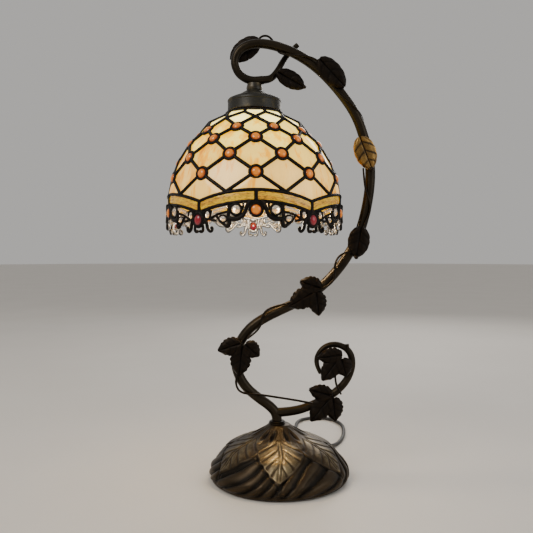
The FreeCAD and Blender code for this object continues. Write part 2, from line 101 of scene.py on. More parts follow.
class Graph:
    """One material's node tree, written through a few calls."""

    def __init__(self, name: str) -> None:
        """Starts an empty material."""
        self.material = bpy.data.materials.new(name)
        self.material.use_nodes = True
        self.tree = self.material.node_tree
        self.tree.nodes.clear()

    def node(self, kind: str, settings: dict | None = None, inputs: dict | None = None,
             out: int | str = 0) -> Sock:
        """Adds a node.

        Args:
            kind: the node's type.
            settings: its properties, and "stops" for a colour ramp.
            inputs: values or links by socket name or number.
            out: the output that is wanted.

        Returns:
            That output's socket.
        """
        made = self.tree.nodes.new(kind)
        for key, value in (settings or {}).items():
            if key == "stops":
                self.set_stops(made.color_ramp, value)
            else:
                setattr(made, key, value)
        for key, value in (inputs or {}).items():
            target = made.inputs[key]
            if isinstance(value, Sock):
                self.tree.links.new(value.socket, target)
            elif target.type == "RGBA" and len(value) == 3:
                target.default_value = (*value, 1.0)
            else:
                target.default_value = value
        return Sock(self, made.outputs[out])

    @staticmethod
    def set_stops(ramp: bpy.types.ColorRamp, stops: list[tuple[float, Colour]]) -> None:
        """Gives a colour ramp its stops."""
        while len(ramp.elements) < len(stops):
            ramp.elements.new(0.5)
        for element, (position, colour) in zip(ramp.elements, stops):
            element.position = position
            element.color = (*colour, 1.0)

    def coords(self, scale: Colour = (1.0, 1.0, 1.0), offset: Sock | None = None) -> Sock:
        """Object coordinates in millimetres, stretched, and shifted by a value where one is given."""
        place = self.node("ShaderNodeTexCoord", out="Object")
        size = tuple(s / MM for s in scale)
        moved = self.node("ShaderNodeVectorMath", {"operation": "MULTIPLY"}, {0: place, 1: size})
        if offset is None:
            return moved
        return self.node("ShaderNodeVectorMath", {"operation": "ADD"}, {0: moved, 1: offset})

    def noise(self, vector: Sock, scale: float, detail: float = 3.0, rough: float = 0.55) -> Sock:
        """Smooth noise from 0 to 1, with its scale per millimetre."""
        sizes = {"Vector": vector, "Scale": scale, "Detail": detail, "Roughness": rough}
        return self.node("ShaderNodeTexNoise", None, sizes, "Fac")

    def ease(self, value: Sock, low: float, high: float, start: float = 0.0, end: float = 1.0) -> Sock:
        """A soft step of a value between two limits."""
        sizes = {"Value": value, "From Min": low, "From Max": high, "To Min": start, "To Max": end}
        return self.node("ShaderNodeMapRange", {"interpolation_type": "SMOOTHSTEP"}, sizes)

    def mix(self, factor: Sock | float, a: Sock | Colour, b: Sock | Colour, way: str = "MIX") -> Sock:
        """Two colours mixed."""
        return self.node("ShaderNodeMix", {"data_type": "RGBA", "blend_type": way},
                         {0: factor, 6: a, 7: b}, 2)

    def attribute(self, name: str) -> Sock:
        """A value kept on the mesh."""
        return self.node("ShaderNodeAttribute", {"attribute_name": name}, None, "Fac")

    def bump(self, height: Sock, millimetres: float, strength: float = 1.0) -> Sock:
        """A normal from a height."""
        sizes = {"Height": height, "Distance": millimetres * MM, "Strength": strength}
        return self.node("ShaderNodeBump", None, sizes)

    def surface(self, **inputs: Sock | float | Colour) -> bpy.types.Material:
        """Ends the graph with a Principled shader; underscores in a name stand for spaces."""
        sockets = {key.replace("_", " "): value for key, value in inputs.items()}
        shader = self.node("ShaderNodeBsdfPrincipled", None, sockets)
        end = self.tree.nodes.new("ShaderNodeOutputMaterial")
        self.tree.links.new(shader.socket, end.inputs["Surface"])
        return self.material


def tint(red: int, green: int, blue: int) -> Colour:
    """A display colour, 0 to 255, as the linear colour that shaders take."""
    return tuple((c / 255 / 12.92) if c <= 10 else ((c / 255 + 0.055) / 1.055) ** 2.4
                 for c in (red, green, blue))


# ---- finishes ------------------------------------------------------------------------------------
@dataclass(frozen=True)
class RubbedBronze:
    """Dark cast or drawn bronze, rubbed bright where it stands out."""

    name: str
    dark: Colour = tint(24, 19, 13)
    body: Colour = tint(74, 60, 41)
    rub: Colour = tint(206, 178, 122)
    wear_from: float = 0.62
    wear_to: float = 1.0
    gloss: float = 0.36
    grain: float = 0.5
    mottle: float = 0.3

    def material(self) -> bpy.types.Material:
        """Builds the finish; it reads the mesh's own relief."""
        g = Graph(self.name)
        relief = g.attribute("relief")
        cloud = g.noise(g.coords(), 0.11, 4.0)
        fine = g.noise(g.coords(), self.grain, 5.0, 0.65)
        height = relief + (cloud - 0.5) * self.mottle + (fine - 0.5) * self.mottle * 0.5
        toned = g.mix(g.ease(height, 0.12, 0.7), self.dark, self.body)
        worn = g.ease(height, self.wear_from, self.wear_to)
        colour = g.mix(worn * 0.8, toned, self.rub)
        rough = self.gloss + (fine - 0.5) * 0.16 + (1.0 - relief) * 0.14 - worn * 0.06
        return g.surface(Base_Color=colour, Metallic=0.86, Roughness=rough,
                         Normal=g.bump(fine + cloud * 0.6, 0.28, 0.55), Specular_IOR_Level=0.5)


@dataclass(frozen=True)
class Enamel:
    """Satin black or olive lacquer over metal, paler in patches."""

    name: str
    colour: Colour = tint(30, 28, 20)
    worn: Colour = tint(86, 76, 48)
    gloss: float = 0.44

    def material(self) -> bpy.types.Material:
        """Builds the finish."""
        g = Graph(self.name)
        cloud = g.noise(g.coords(), 0.07, 4.0)
        fine = g.noise(g.coords(), 0.9, 4.0, 0.6)
        colour = g.mix(g.ease(cloud + fine * 0.3, 0.62, 0.9), self.colour, self.worn)
        return g.surface(Base_Color=colour, Metallic=0.4, Roughness=self.gloss + cloud * 0.16,
                         Normal=g.bump(fine, 0.1, 0.5), Coat_Weight=0.15, Coat_Roughness=0.3)


@dataclass(frozen=True)
class Patina:
    """Soldered leading: black outside, and silvery on the side that faces in, which is bare solder with the
    bulb's light on it painted in.
    """

    name: str
    outside: Colour = tint(17, 14, 12)
    streak: Colour = tint(58, 44, 32)
    # Bare solder on the faces that look in, made pale with painted bulb light.
    solder: Colour = tint(128, 128, 130)

    def material(self) -> bpy.types.Material:
        """Builds the finish; the mesh says which way it faces."""
        g = Graph(self.name)
        lumps = g.noise(g.coords(), 0.32, 4.0)
        inside = g.ease(g.attribute("inside") + (lumps - 0.5) * 0.5, 0.38, 0.62)
        black = g.mix(g.ease(lumps, 0.5, 0.78), self.outside, self.streak)
        colour = g.mix(inside, black, self.solder)
        return g.surface(Base_Color=colour, Metallic=0.72, Roughness=0.42 - inside * 0.14 + lumps * 0.12,
                         Normal=g.bump(lumps, 0.5, 0.7))


@dataclass(frozen=True)
class OpalGlass:
    """Opalescent sheet glass lit from behind, with upright streaks that differ from pane to pane."""

    name: str
    milk: Colour = tint(255, 208, 88)
    honey: Colour = tint(252, 172, 0)
    smoke: Colour = tint(214, 124, 0)
    share: float = 0.5
    glow: float = 1.7

    def material(self) -> bpy.types.Material:
        """Builds the finish; each pane's number shifts its streaks and its warmth."""
        g = Graph(self.name)
        pane = g.attribute("pane")
        shift = g.node("ShaderNodeCombineXYZ", None, {0: pane * 37.0, 1: pane * 61.0, 2: pane * 17.0})
        streak = g.noise(g.coords((0.1, 0.1, 0.02), shift), 1.0, 3.5, 0.55)
        wisp = g.noise(g.coords((0.3, 0.3, 0.035), shift), 1.0, 4.0, 0.6)
        warm = 0.5 + (streak - 0.5) * 1.7 + (wisp - 0.5) * 0.4 + (pane - 0.5) * 0.3
        low = 0.72 - self.share * 0.42
        body = g.mix(g.ease(warm, low, low + 0.26), self.milk, self.honey)
        body = g.mix(g.ease(warm, low + 0.2, low + 0.5) * 0.8, body, self.smoke)
        rim = g.attribute("rim")
        # Painted light and shade: the bulb's glow, brighter in a pane's middle and darker by its leading.
        level = 0.66 + wisp * 0.3 + (1.0 - rim) * 0.22
        lit = g.mix(1.0, body, g.node("ShaderNodeCombineColor", None, {0: level, 1: level, 2: level}),
                    "MULTIPLY")
        return g.surface(Base_Color=g.mix(0.78, body, (0.02, 0.01, 0.0)), Roughness=0.16 + wisp * 0.1,
                         Emission_Color=lit, Emission_Strength=self.glow,
                         Normal=g.bump(wisp, 0.35, 0.35), Coat_Weight=0.4, Coat_Roughness=0.06)


@dataclass(frozen=True)
class RippleGlass:
    """Gold border glass with dark brown ripples that run along it, and the bulb's light through it painted
    on as a glow.
    """

    name: str
    gold: Colour = tint(255, 202, 0)
    deep: Colour = tint(232, 160, 0)
    line: Colour = tint(56, 26, 2)
    glow: float = 0.72

    def material(self) -> bpy.types.Material:
        """Builds the finish from the strips' own map: along, and across."""
        g = Graph(self.name)
        pane = g.attribute("pane")
        map_at = g.node("ShaderNodeUVMap", {"uv_map": "UVMap"})
        size = g.node("ShaderNodeVectorMath", {"operation": "MULTIPLY"}, {0: map_at, 1: (5.0, 7.0, 1.0)})
        shift = g.node("ShaderNodeCombineXYZ", None, {0: pane * 23.0, 1: pane * 41.0, 2: 0.0})
        at = g.node("ShaderNodeVectorMath", {"operation": "ADD"}, {0: size, 1: shift})
        wave = g.noise(at, 1.0, 3.0, 0.6)
        cloud = g.noise(at, 0.35, 2.0)
        thread = g.node("ShaderNodeMath", {"operation": "ABSOLUTE"}, {0: wave - 0.5})
        dark = g.ease(thread, 0.004, 0.04, 1.0, 0.0)
        body = g.mix(g.ease(cloud, 0.35, 0.7), self.gold, self.deep)
        colour = g.mix(dark * 0.85, body, self.line)
        # The emission is the bulb's light through the strips, painted on as a glow.
        return g.surface(Base_Color=g.mix(0.75, colour, self.line), Roughness=0.14 + dark * 0.2,
                         Emission_Color=colour, Emission_Strength=self.glow,
                         Normal=g.bump(wave, 0.8, 0.6), Coat_Weight=0.6, Coat_Roughness=0.05)


@dataclass(frozen=True)
class JewelGlass:
    """A pressed jewel lit from behind: bright in its middle, deep at its rim."""

    name: str
    heart: Colour
    body: Colour
    rim: Colour
    glow: float = 0.8

    def material(self) -> bpy.types.Material:
        """Builds the finish; "rim" is 1 at a jewel's edge and "heat" its share of the bulb's light."""
        g = Graph(self.name)
        rim = g.attribute("rim")
        heat = g.attribute("heat")
        cloud = g.noise(g.coords(), 0.42, 3.0)
        core = g.ease(rim + (cloud - 0.5) * 0.3, 0.35, 0.9, 1.0, 0.0)
        colour = g.mix(g.ease(rim + (cloud - 0.5) * 0.5, 0.5, 1.05), self.body, self.rim)
        dim = g.mix(g.ease(heat, 0.0, 0.5), g.mix(0.6, colour, self.rim), colour)
        lit = g.mix(core * g.ease(heat, 0.0, 1.0), dim, self.heart)
        return g.surface(Base_Color=g.mix(0.8, dim, self.rim), Roughness=0.08 + cloud * 0.06,
                         Emission_Color=lit, Emission_Strength=self.glow, Coat_Weight=0.6,
                         Coat_Roughness=0.03)


@dataclass(frozen=True)
class ClearGlass:
    """Colourless pressed glass with a faint ripple."""

    name: str
    colour: Colour = tint(250, 244, 236)
    ripple: Colour = tint(226, 206, 180)
    rough: float = 0.06

    def material(self) -> bpy.types.Material:
        """Builds the finish."""
        g = Graph(self.name)
        ripple = g.noise(g.coords(), 0.45, 3.0)
        body = g.mix(g.ease(ripple, 0.3, 0.8), self.colour, self.ripple)
        return g.surface(Base_Color=body, Roughness=self.rough, Transmission_Weight=0.82, IOR=1.5,
                         Normal=g.bump(ripple, 0.6, 0.6))


@dataclass(frozen=True)
class BulbGlass:
    """Frosted bulb glass that shines, a little dimmer towards its neck."""

    name: str
    colour: Colour = tint(255, 228, 184)
    neck: Colour = tint(214, 150, 90)
    glass: Colour = tint(240, 236, 228)
    neck_from: float = 360.0
    neck_to: float = 402.0
    glow: float = 7.0

    def material(self) -> bpy.types.Material:
        """Builds the finish."""
        g = Graph(self.name)
        height = g.node("ShaderNodeSeparateXYZ", None, {0: g.coords()}, "Z")
        frost = g.noise(g.coords(), 1.4, 3.0)
        dim = g.ease(height, self.neck_from, self.neck_to) * 0.6 + frost * 0.1
        return g.surface(Base_Color=self.glass, Roughness=0.32 + frost * 0.1,
                         Emission_Color=g.mix(dim, self.colour, self.neck), Emission_Strength=self.glow)


@dataclass(frozen=True)
class Moulded:
    """Moulded plastic, rubber or phenolic with a fine skin."""

    name: str
    colour: Colour
    shade: Colour
    gloss: float = 0.42
    pore: float = 1.2

    def material(self) -> bpy.types.Material:
        """Builds the finish."""
        g = Graph(self.name)
        cloud = g.noise(g.coords(), 0.06, 3.0)
        skin = g.noise(g.coords(), self.pore, 3.0, 0.6)
        return g.surface(Base_Color=g.mix(g.ease(cloud, 0.3, 0.75), self.colour, self.shade),
                         Roughness=self.gloss + skin * 0.14 - cloud * 0.05,
                         Normal=g.bump(skin, 0.09, 0.5), Specular_IOR_Level=0.5)


@dataclass(frozen=True)
class BareMetal:
    """Turned, drawn or cast metal with tool marks round its own axis and some tarnish."""

    name: str
    colour: Colour
    tarnish: Colour
    gloss: float = 0.28
    marks: float = 2.4
    depth: float = 0.05

    def material(self) -> bpy.types.Material:
        """Builds the finish."""
        g = Graph(self.name)
        cloud = g.noise(g.coords(), 0.12, 4.0)
        lines = g.noise(g.coords((0.15, 0.15, 1.0)), self.marks, 3.0)
        colour = g.mix(g.ease(cloud + lines * 0.2, 0.45, 0.85), self.colour, self.tarnish)
        return g.surface(Base_Color=colour, Metallic=0.95, Roughness=self.gloss + cloud * 0.2,
                         Normal=g.bump(lines, self.depth, 0.5))


@dataclass(frozen=True)
class Felt:
    """Pressed wool felt."""

    name: str
    colour: Colour = tint(38, 46, 36)
    pale: Colour = tint(72, 82, 66)

    def material(self) -> bpy.types.Material:
        """Builds the finish."""
        g = Graph(self.name)
        fibre = g.noise(g.coords((1.0, 0.3, 1.0)), 2.6, 5.0, 0.75)
        return g.surface(Base_Color=g.mix(fibre, self.colour, self.pale), Roughness=0.95,
                         Sheen_Weight=0.4, Normal=g.bump(fibre, 0.3, 0.8))


class Coat(Enum):
    """The finishes, each made once and shared by the pieces that have it."""

    BASE = RubbedBronze("cast_bronze_finish", tint(20, 16, 11), tint(62, 51, 37), tint(196, 176, 134),
                        0.66, 1.12, 0.34, 0.5, 0.34)
    ARM = RubbedBronze("arm_bronze_finish", tint(16, 13, 9), tint(52, 44, 32), tint(176, 160, 124),
                       0.6, 1.2, 0.25, 0.35, 0.14)
    LEAF = RubbedBronze("leaf_bronze_finish", tint(15, 11, 8), tint(42, 33, 24), tint(206, 160, 86),
                        0.8, 1.16, 0.36, 0.5, 0.2)
    VINE = RubbedBronze("vine_bronze_finish", tint(15, 12, 9), tint(42, 35, 26), tint(150, 132, 94),
                        0.75, 1.1, 0.32, 0.8, 0.2)
    CAP = Enamel("cap_enamel_finish")
    NECK = Enamel("neck_enamel_finish", tint(34, 29, 20), tint(96, 82, 52), 0.3)
    LEADING = Patina("leading_finish")
    # The opal tiers' glow is painted bulb light, strongest in the top tiers and weaker downwards.
    OPAL_TOP = OpalGlass("opal_top_finish", tint(255, 232, 138), tint(255, 214, 60), tint(250, 180, 20),
                         0.35, 3.6)
    OPAL_UPPER = OpalGlass("opal_upper_finish", tint(255, 220, 92), tint(252, 190, 10),
                           tint(232, 150, 0), 0.7, 2.2)
    OPAL_MIDDLE = OpalGlass("opal_middle_finish", share=0.72, glow=1.7)
    OPAL_LOW = OpalGlass("opal_low_finish", tint(255, 202, 100), tint(248, 166, 6), tint(206, 116, 0),
                         0.66, 1.5)
    BORDER = RippleGlass("border_glass_finish")
    AMBER = JewelGlass("amber_jewel_finish", tint(255, 240, 50), tint(255, 156, 0), tint(104, 34, 0),
                       1.5)
    RUBY = JewelGlass("ruby_jewel_finish", tint(255, 0, 60), tint(214, 0, 40), tint(46, 0, 8), 0.75)
    CLEAR = ClearGlass("clear_jewel_finish")
    BULB = BulbGlass("bulb_glass_finish")
    FILAMENT = BareMetal("bulb_post_finish", tint(226, 222, 210), tint(150, 146, 136), 0.3)
    LEAD = Moulded("lead_plastic_finish", tint(30, 28, 26), tint(44, 41, 38), 0.38, 0.9)
    TIE = Moulded("tie_plastic_finish", tint(18, 18, 18), tint(34, 34, 34), 0.3, 2.0)
    PLUG = Moulded("plug_plastic_finish", tint(26, 25, 24), tint(42, 40, 38), 0.46, 1.4)
    PHENOLIC = Moulded("phenolic_finish", tint(22, 17, 14), tint(44, 33, 25), 0.25, 0.8)
    CONTACT = BareMetal("contact_brass_finish", tint(206, 172, 96), tint(140, 104, 50), 0.2)
    SOCKET = BareMetal("socket_brass_finish", tint(150, 122, 66), tint(78, 60, 32), 0.28)
    SCREW_SHELL = BareMetal("screw_shell_finish", tint(190, 188, 184), tint(122, 120, 116), 0.24)
    STEEL = BareMetal("plated_steel_finish", tint(170, 168, 162), tint(96, 92, 86), 0.3)
    IRON = BareMetal("raw_iron_finish", tint(62, 58, 56), tint(92, 60, 42), 0.62, 0.5, 0.5)
    HEEL = BareMetal("heel_ring_finish", tint(120, 106, 82), tint(62, 52, 38), 0.36)
    FELT = Felt("felt_finish")

    def made(self) -> bpy.types.Material:
        """The finish's material, built the first time that it is asked for."""
        found = bpy.data.materials.get(self.value.name)
        return found or self.value.material()


# ---- making pieces -------------------------------------------------------------------------------
def alone(piece: bpy.types.Object) -> bpy.types.Object:
    """Selects one object only and makes it active."""
    bpy.ops.object.select_all(action="DESELECT")
    piece.select_set(True)
    bpy.context.view_layer.objects.active = piece
    return piece


def named(name: str) -> bpy.types.Object:
    """Takes up the new primitive under its own name."""
    piece = bpy.context.object
    piece.name = name
    piece.data.name = name
    return alone(piece)


def applied(piece: bpy.types.Object, kind: str, **settings: object) -> bpy.types.Object:
    """Adds a modifier with its settings and applies it."""
    alone(piece)
    modifier = piece.modifiers.new(kind.lower(), kind)
    for key, value in settings.items():
        setattr(modifier, key, value)
    bpy.ops.object.modifier_apply(modifier=modifier.name)
    return piece


def cleaned(piece: bpy.types.Object, gap: float = 0.02) -> bpy.types.Object:
    """Merges doubled points and turns the faces outwards."""
    alone(piece)
    bpy.ops.object.mode_set(mode="EDIT")
    bpy.ops.mesh.select_all(action="SELECT")
    bpy.ops.mesh.remove_doubles(threshold=gap * MM)
    bpy.ops.mesh.normals_make_consistent(inside=False)
    bpy.ops.object.mode_set(mode="OBJECT")
    return piece


def smooth(piece: bpy.types.Object, degrees: float = 40.0) -> bpy.types.Object:
    """Smooth shading, but for edges sharper than an angle."""
    alone(piece)
    bpy.ops.object.shade_smooth_by_angle(angle=math.radians(degrees))
    return piece


def joined(name: str, parts: list[bpy.types.Object]) -> bpy.types.Object:
    """Makes one piece of several."""
    alone(parts[0])
    for part in parts[1:]:
        part.select_set(True)
    bpy.ops.object.join()
    return named(name)


def marked(piece: bpy.types.Object, name: str, value: Callable[[bpy.types.MeshVertex], float]) -> None:
    """Keeps a value on each point of a mesh."""
    mesh = piece.data
    layer = mesh.attributes.get(name) or mesh.attributes.new(name, "FLOAT", "POINT")
    for vertex in mesh.vertices:
        layer.data[vertex.index].value = value(vertex)


def sheet_of(name: str, columns: int, rows: int, place: Place, mark: str = "relief") -> bpy.types.Object:
    """A grid whose points are each put in place.

    Args:
        name: the piece's name.
        columns: cells along u.
        rows: cells along v.
        place: gives a point in millimetres and a mark for u and v, each from 0 to 1.
        mark: the attribute that keeps the mark.

    Returns:
        The piece, with its map on u and v.
    """
    bpy.ops.object.select_all(action="DESELECT")
    bpy.ops.mesh.primitive_grid_add(x_subdivisions=columns, y_subdivisions=rows, size=1)
    piece = named(name)
    mesh = piece.data
    layer = mesh.attributes.new(mark, "FLOAT", "POINT")
    for vertex in mesh.vertices:
        point, value = place(vertex.co.x + 0.5, vertex.co.y + 0.5)
        vertex.co = point * MM
        layer.data[vertex.index].value = value
    mesh.update()
    return piece


def strokes(name: str, routes: list[list[Vector]], width: float, widths: list[list[float]] | None = None,
            sides: int = 3, steps: int = 6, smooth_line: bool = True) -> bpy.types.Object:
    """Round bars along routes, as one mesh.

    Args:
        name: the piece's name.
        routes: each bar's points, in millimetres.
        width: the bars' radius.
        widths: each point's share of that radius, where it varies.
        sides: the section's resolution.
        steps: the resolution along a bar.
        smooth_line: a NURBS line rather than straight runs.

    Returns:
        The piece.
    """
    data = bpy.data.curves.new(name, "CURVE")
    data.dimensions = "3D"
    data.bevel_depth = width * MM
    data.bevel_resolution = sides
    data.resolution_u = steps
    data.use_fill_caps = True
    for index, route in enumerate(routes):
        spline = data.splines.new("NURBS" if smooth_line else "POLY")
        spline.points.add(len(route) - 1)
        for number, (point, at) in enumerate(zip(spline.points, route)):
            point.co = (*(at * MM), 1.0)
            point.radius = widths[index][number] if widths else 1.0
        if smooth_line:
            spline.order_u = 3
            spline.use_endpoint_u = True
    piece = bpy.data.objects.new(name, data)
    bpy.context.collection.objects.link(piece)
    alone(piece)
    bpy.ops.object.convert(target="MESH")
    return smooth(named(name), 50)


def facing(centre: Vector, way: Vector, size: tuple[float, float, float]) -> Matrix:
    """Where a unit shape goes: at a centre, its own Z along a way and its Y as upright as may be.

    Args:
        centre: the middle, in millimetres.
        way: the way that the shape faces.
        size: its scale along its own X, Y and Z, in millimetres.

    Returns:
        The matrix, in metres.
    """
    normal = way.normalized()
    side = Vector((0, 0, 1)).cross(normal)
    side = side.normalized() if side.length > 0.01 else Vector((1, 0, 0))
    turn = Matrix((side, normal.cross(side), normal)).transposed().to_4x4()
    grow = Matrix.Diagonal((*(s * MM for s in size), 1.0))
    return Matrix.Translation(centre * MM) @ turn @ grow


def dome_mark(vertex: bpy.types.MeshVertex) -> float:
    """How near a point of a unit ball is to its rim, seen along its own Z."""
    return min(1.0, math.hypot(vertex.co.x, vertex.co.y))


def bead(name: str, at: Matrix, heat: float = 0.0, segments: int = 20) -> bpy.types.Object:
    """A glass bead: a ball with a flattened belt, put in place and marked with its rim and its heat, the
    share of the bulb's light painted on it.
    """
    bpy.ops.object.select_all(action="DESELECT")
    bpy.ops.mesh.primitive_uv_sphere_add(segments=segments, ring_count=segments // 2, radius=1)
    piece = named(name)
    marked(piece, "rim", dome_mark)
    marked(piece, "heat", lambda vertex: heat)
    piece.data.transform(at)
    return piece


def ring(name: str, at: Matrix, thick: float, around: int = 22, section: int = 8) -> bpy.types.Object:
    """A solder ring round a bead, on a unit circle, put in place."""
    bpy.ops.object.select_all(action="DESELECT")
    bpy.ops.mesh.primitive_torus_add(major_radius=1, minor_radius=thick, major_segments=around,
                                     minor_segments=section)
    piece = named(name)
    piece.data.transform(at)
    return piece


def finished(piece: bpy.types.Object, coat: Coat, body: str, slot: str, *nodes: str) -> bpy.types.Object:
    """Gives a piece its finish and its body, and has it stand for CAD nodes."""
    piece.data.materials.clear()
    piece.data.materials.append(coat.made())
    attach(piece, body)
    if nodes:
        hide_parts(*nodes)
    log.info("piece %s on %s", piece.name, body)
    return piece


def dressed(coat: Coat, *nodes: str) -> None:
    """Gives CAD nodes a finish of their own."""
    for node in nodes:
        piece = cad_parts[node]
        for held in piece.material_slots:
            held.link = "OBJECT"
            held.material = coat.made()
        log.info("dressed %s", node)


def through(points: list[tuple[float, float]], value: float) -> float:
    """A straight-line reading of a short table of (position, value) pairs, held at its ends."""
    if value <= points[0][0]:
        return points[0][1]
    for (a, low), (b, high) in zip(points, points[1:]):
        if value <= b:
            t = (value - a) / (b - a)
            return low + (high - low) * t
    return points[-1][1]


def rise(value: float, low: float, high: float) -> float:
    """A soft step from 0 to 1."""
    t = min(1.0, max(0.0, (value - low) / (high - low)))
    return t * t * (3 - 2 * t)


def path_through(points: list[tuple[float, ...]], steps: int) -> list[Vector]:
    """Points of a smooth line that passes through each given point."""
    held = [Vector(p) for p in points]
    held = [held[0] * 2 - held[1]] + held + [held[-1] * 2 - held[-2]]
    line = []
    for a, b, c, d in zip(held, held[1:], held[2:], held[3:]):
        for k in range(steps):
            t = k / steps
            line.append(((b * 2) + (c - a) * t + (a * 2 - b * 5 + c * 4 - d) * t * t
                         + (b * 3 - a - c * 3 + d) * t ** 3) * 0.5)
    line.append(held[-2])
    return line


# ---- studio --------------------------------------------------------------------------------------
@dataclass
class Studio:
    """Camera, floor and soft light; none of it is part of the lamp."""

    eye: Colour = (-0.0157, -0.790, 0.2835)
    pitch: float = 1.57
    lens: float = 43.2
    floor_size: float = 12.0
    sky: tuple = (0.86, 0.84, 0.81, 1)
    sky_strength: float = 0.55
    bulb_place: Colour = (-0.0305, 0.0, 0.332)
    bulb_colour: Colour = (1.0, 0.86, 0.66)
    bulb_watts: float = 0.75

    def camera(self) -> None:
        """Sets the camera up in front of the lamp."""
        data = bpy.data.cameras.new("camera")
        data.lens = self.lens
        data.clip_start = 0.01
        camera = bpy.data.objects.new("camera", data)
        camera.location = self.eye
        camera.rotation_euler = (math.radians(90 - self.pitch), 0, 0)
        bpy.context.collection.objects.link(camera)
        bpy.context.scene.camera = camera

    def floor(self) -> None:
        """Lays the plain pale floor."""
        bpy.ops.object.select_all(action="DESELECT")
        bpy.ops.mesh.primitive_circle_add(vertices=96, radius=self.floor_size, fill_type="NGON",
                                          location=(0, 0, -0.0002))
        floor = named("floor")
        g = Graph("floor_finish")
        grain = g.noise(g.coords(), 0.004, 3.0)
        floor.data.materials.append(g.surface(Base_Color=g.mix(grain, tint(214, 208, 200),
                                                               tint(224, 219, 212)),
                                              Roughness=0.62))

    def lamp(self, name: str, place: Colour, aim: Colour, size: float, watts: float,
             colour: Colour) -> None:
        """Hangs one soft light.

        Args:
            name: the light's name.
            place: where it hangs, in metres.
            aim: the point that it faces, in metres.
            size: its width, in metres.
            watts: its power.
            colour: its colour.
        """
        data = bpy.data.lights.new(name, "AREA")
        data.shape = "DISK"
        data.size = size
        data.energy = watts
        data.color = colour
        light = bpy.data.objects.new(name, data)
        light.location = place
        way = Vector(aim) - Vector(place)
        light.rotation_euler = way.to_track_quat("-Z", "Y").to_euler()
        bpy.context.collection.objects.link(light)

    def lights(self) -> None:
        """Hangs the studio lights and the small warm light inside the shade."""
        world = bpy.data.worlds.new("studio")
        world.use_nodes = True
        background = world.node_tree.nodes["Background"].inputs
        background["Color"].default_value = self.sky
        background["Strength"].default_value = self.sky_strength
        bpy.context.scene.world = world
        middle = (0.0, 0.0, 0.25)
        self.lamp("key", (-1.1, -1.2, 1.5), middle, 1.1, 17.0, (1.0, 0.96, 0.9))
        self.lamp("fill", (1.5, -0.9, 0.8), middle, 1.4, 7.0, (0.94, 0.97, 1.0))
        self.lamp("back", (0.5, 1.5, 1.1), middle, 1.0, 9.0, (1.0, 0.97, 0.93))
        data = bpy.data.lights.new("bulb_light", "POINT")
        data.energy = self.bulb_watts
        data.color = self.bulb_colour
        data.shadow_soft_size = 0.015
        light = bpy.data.objects.new("bulb_light", data)
        light.location = self.bulb_place
        bpy.context.collection.objects.link(light)

    def build(self) -> None:
        """Makes the whole studio."""
        self.camera()
        self.floor()
        self.lights()


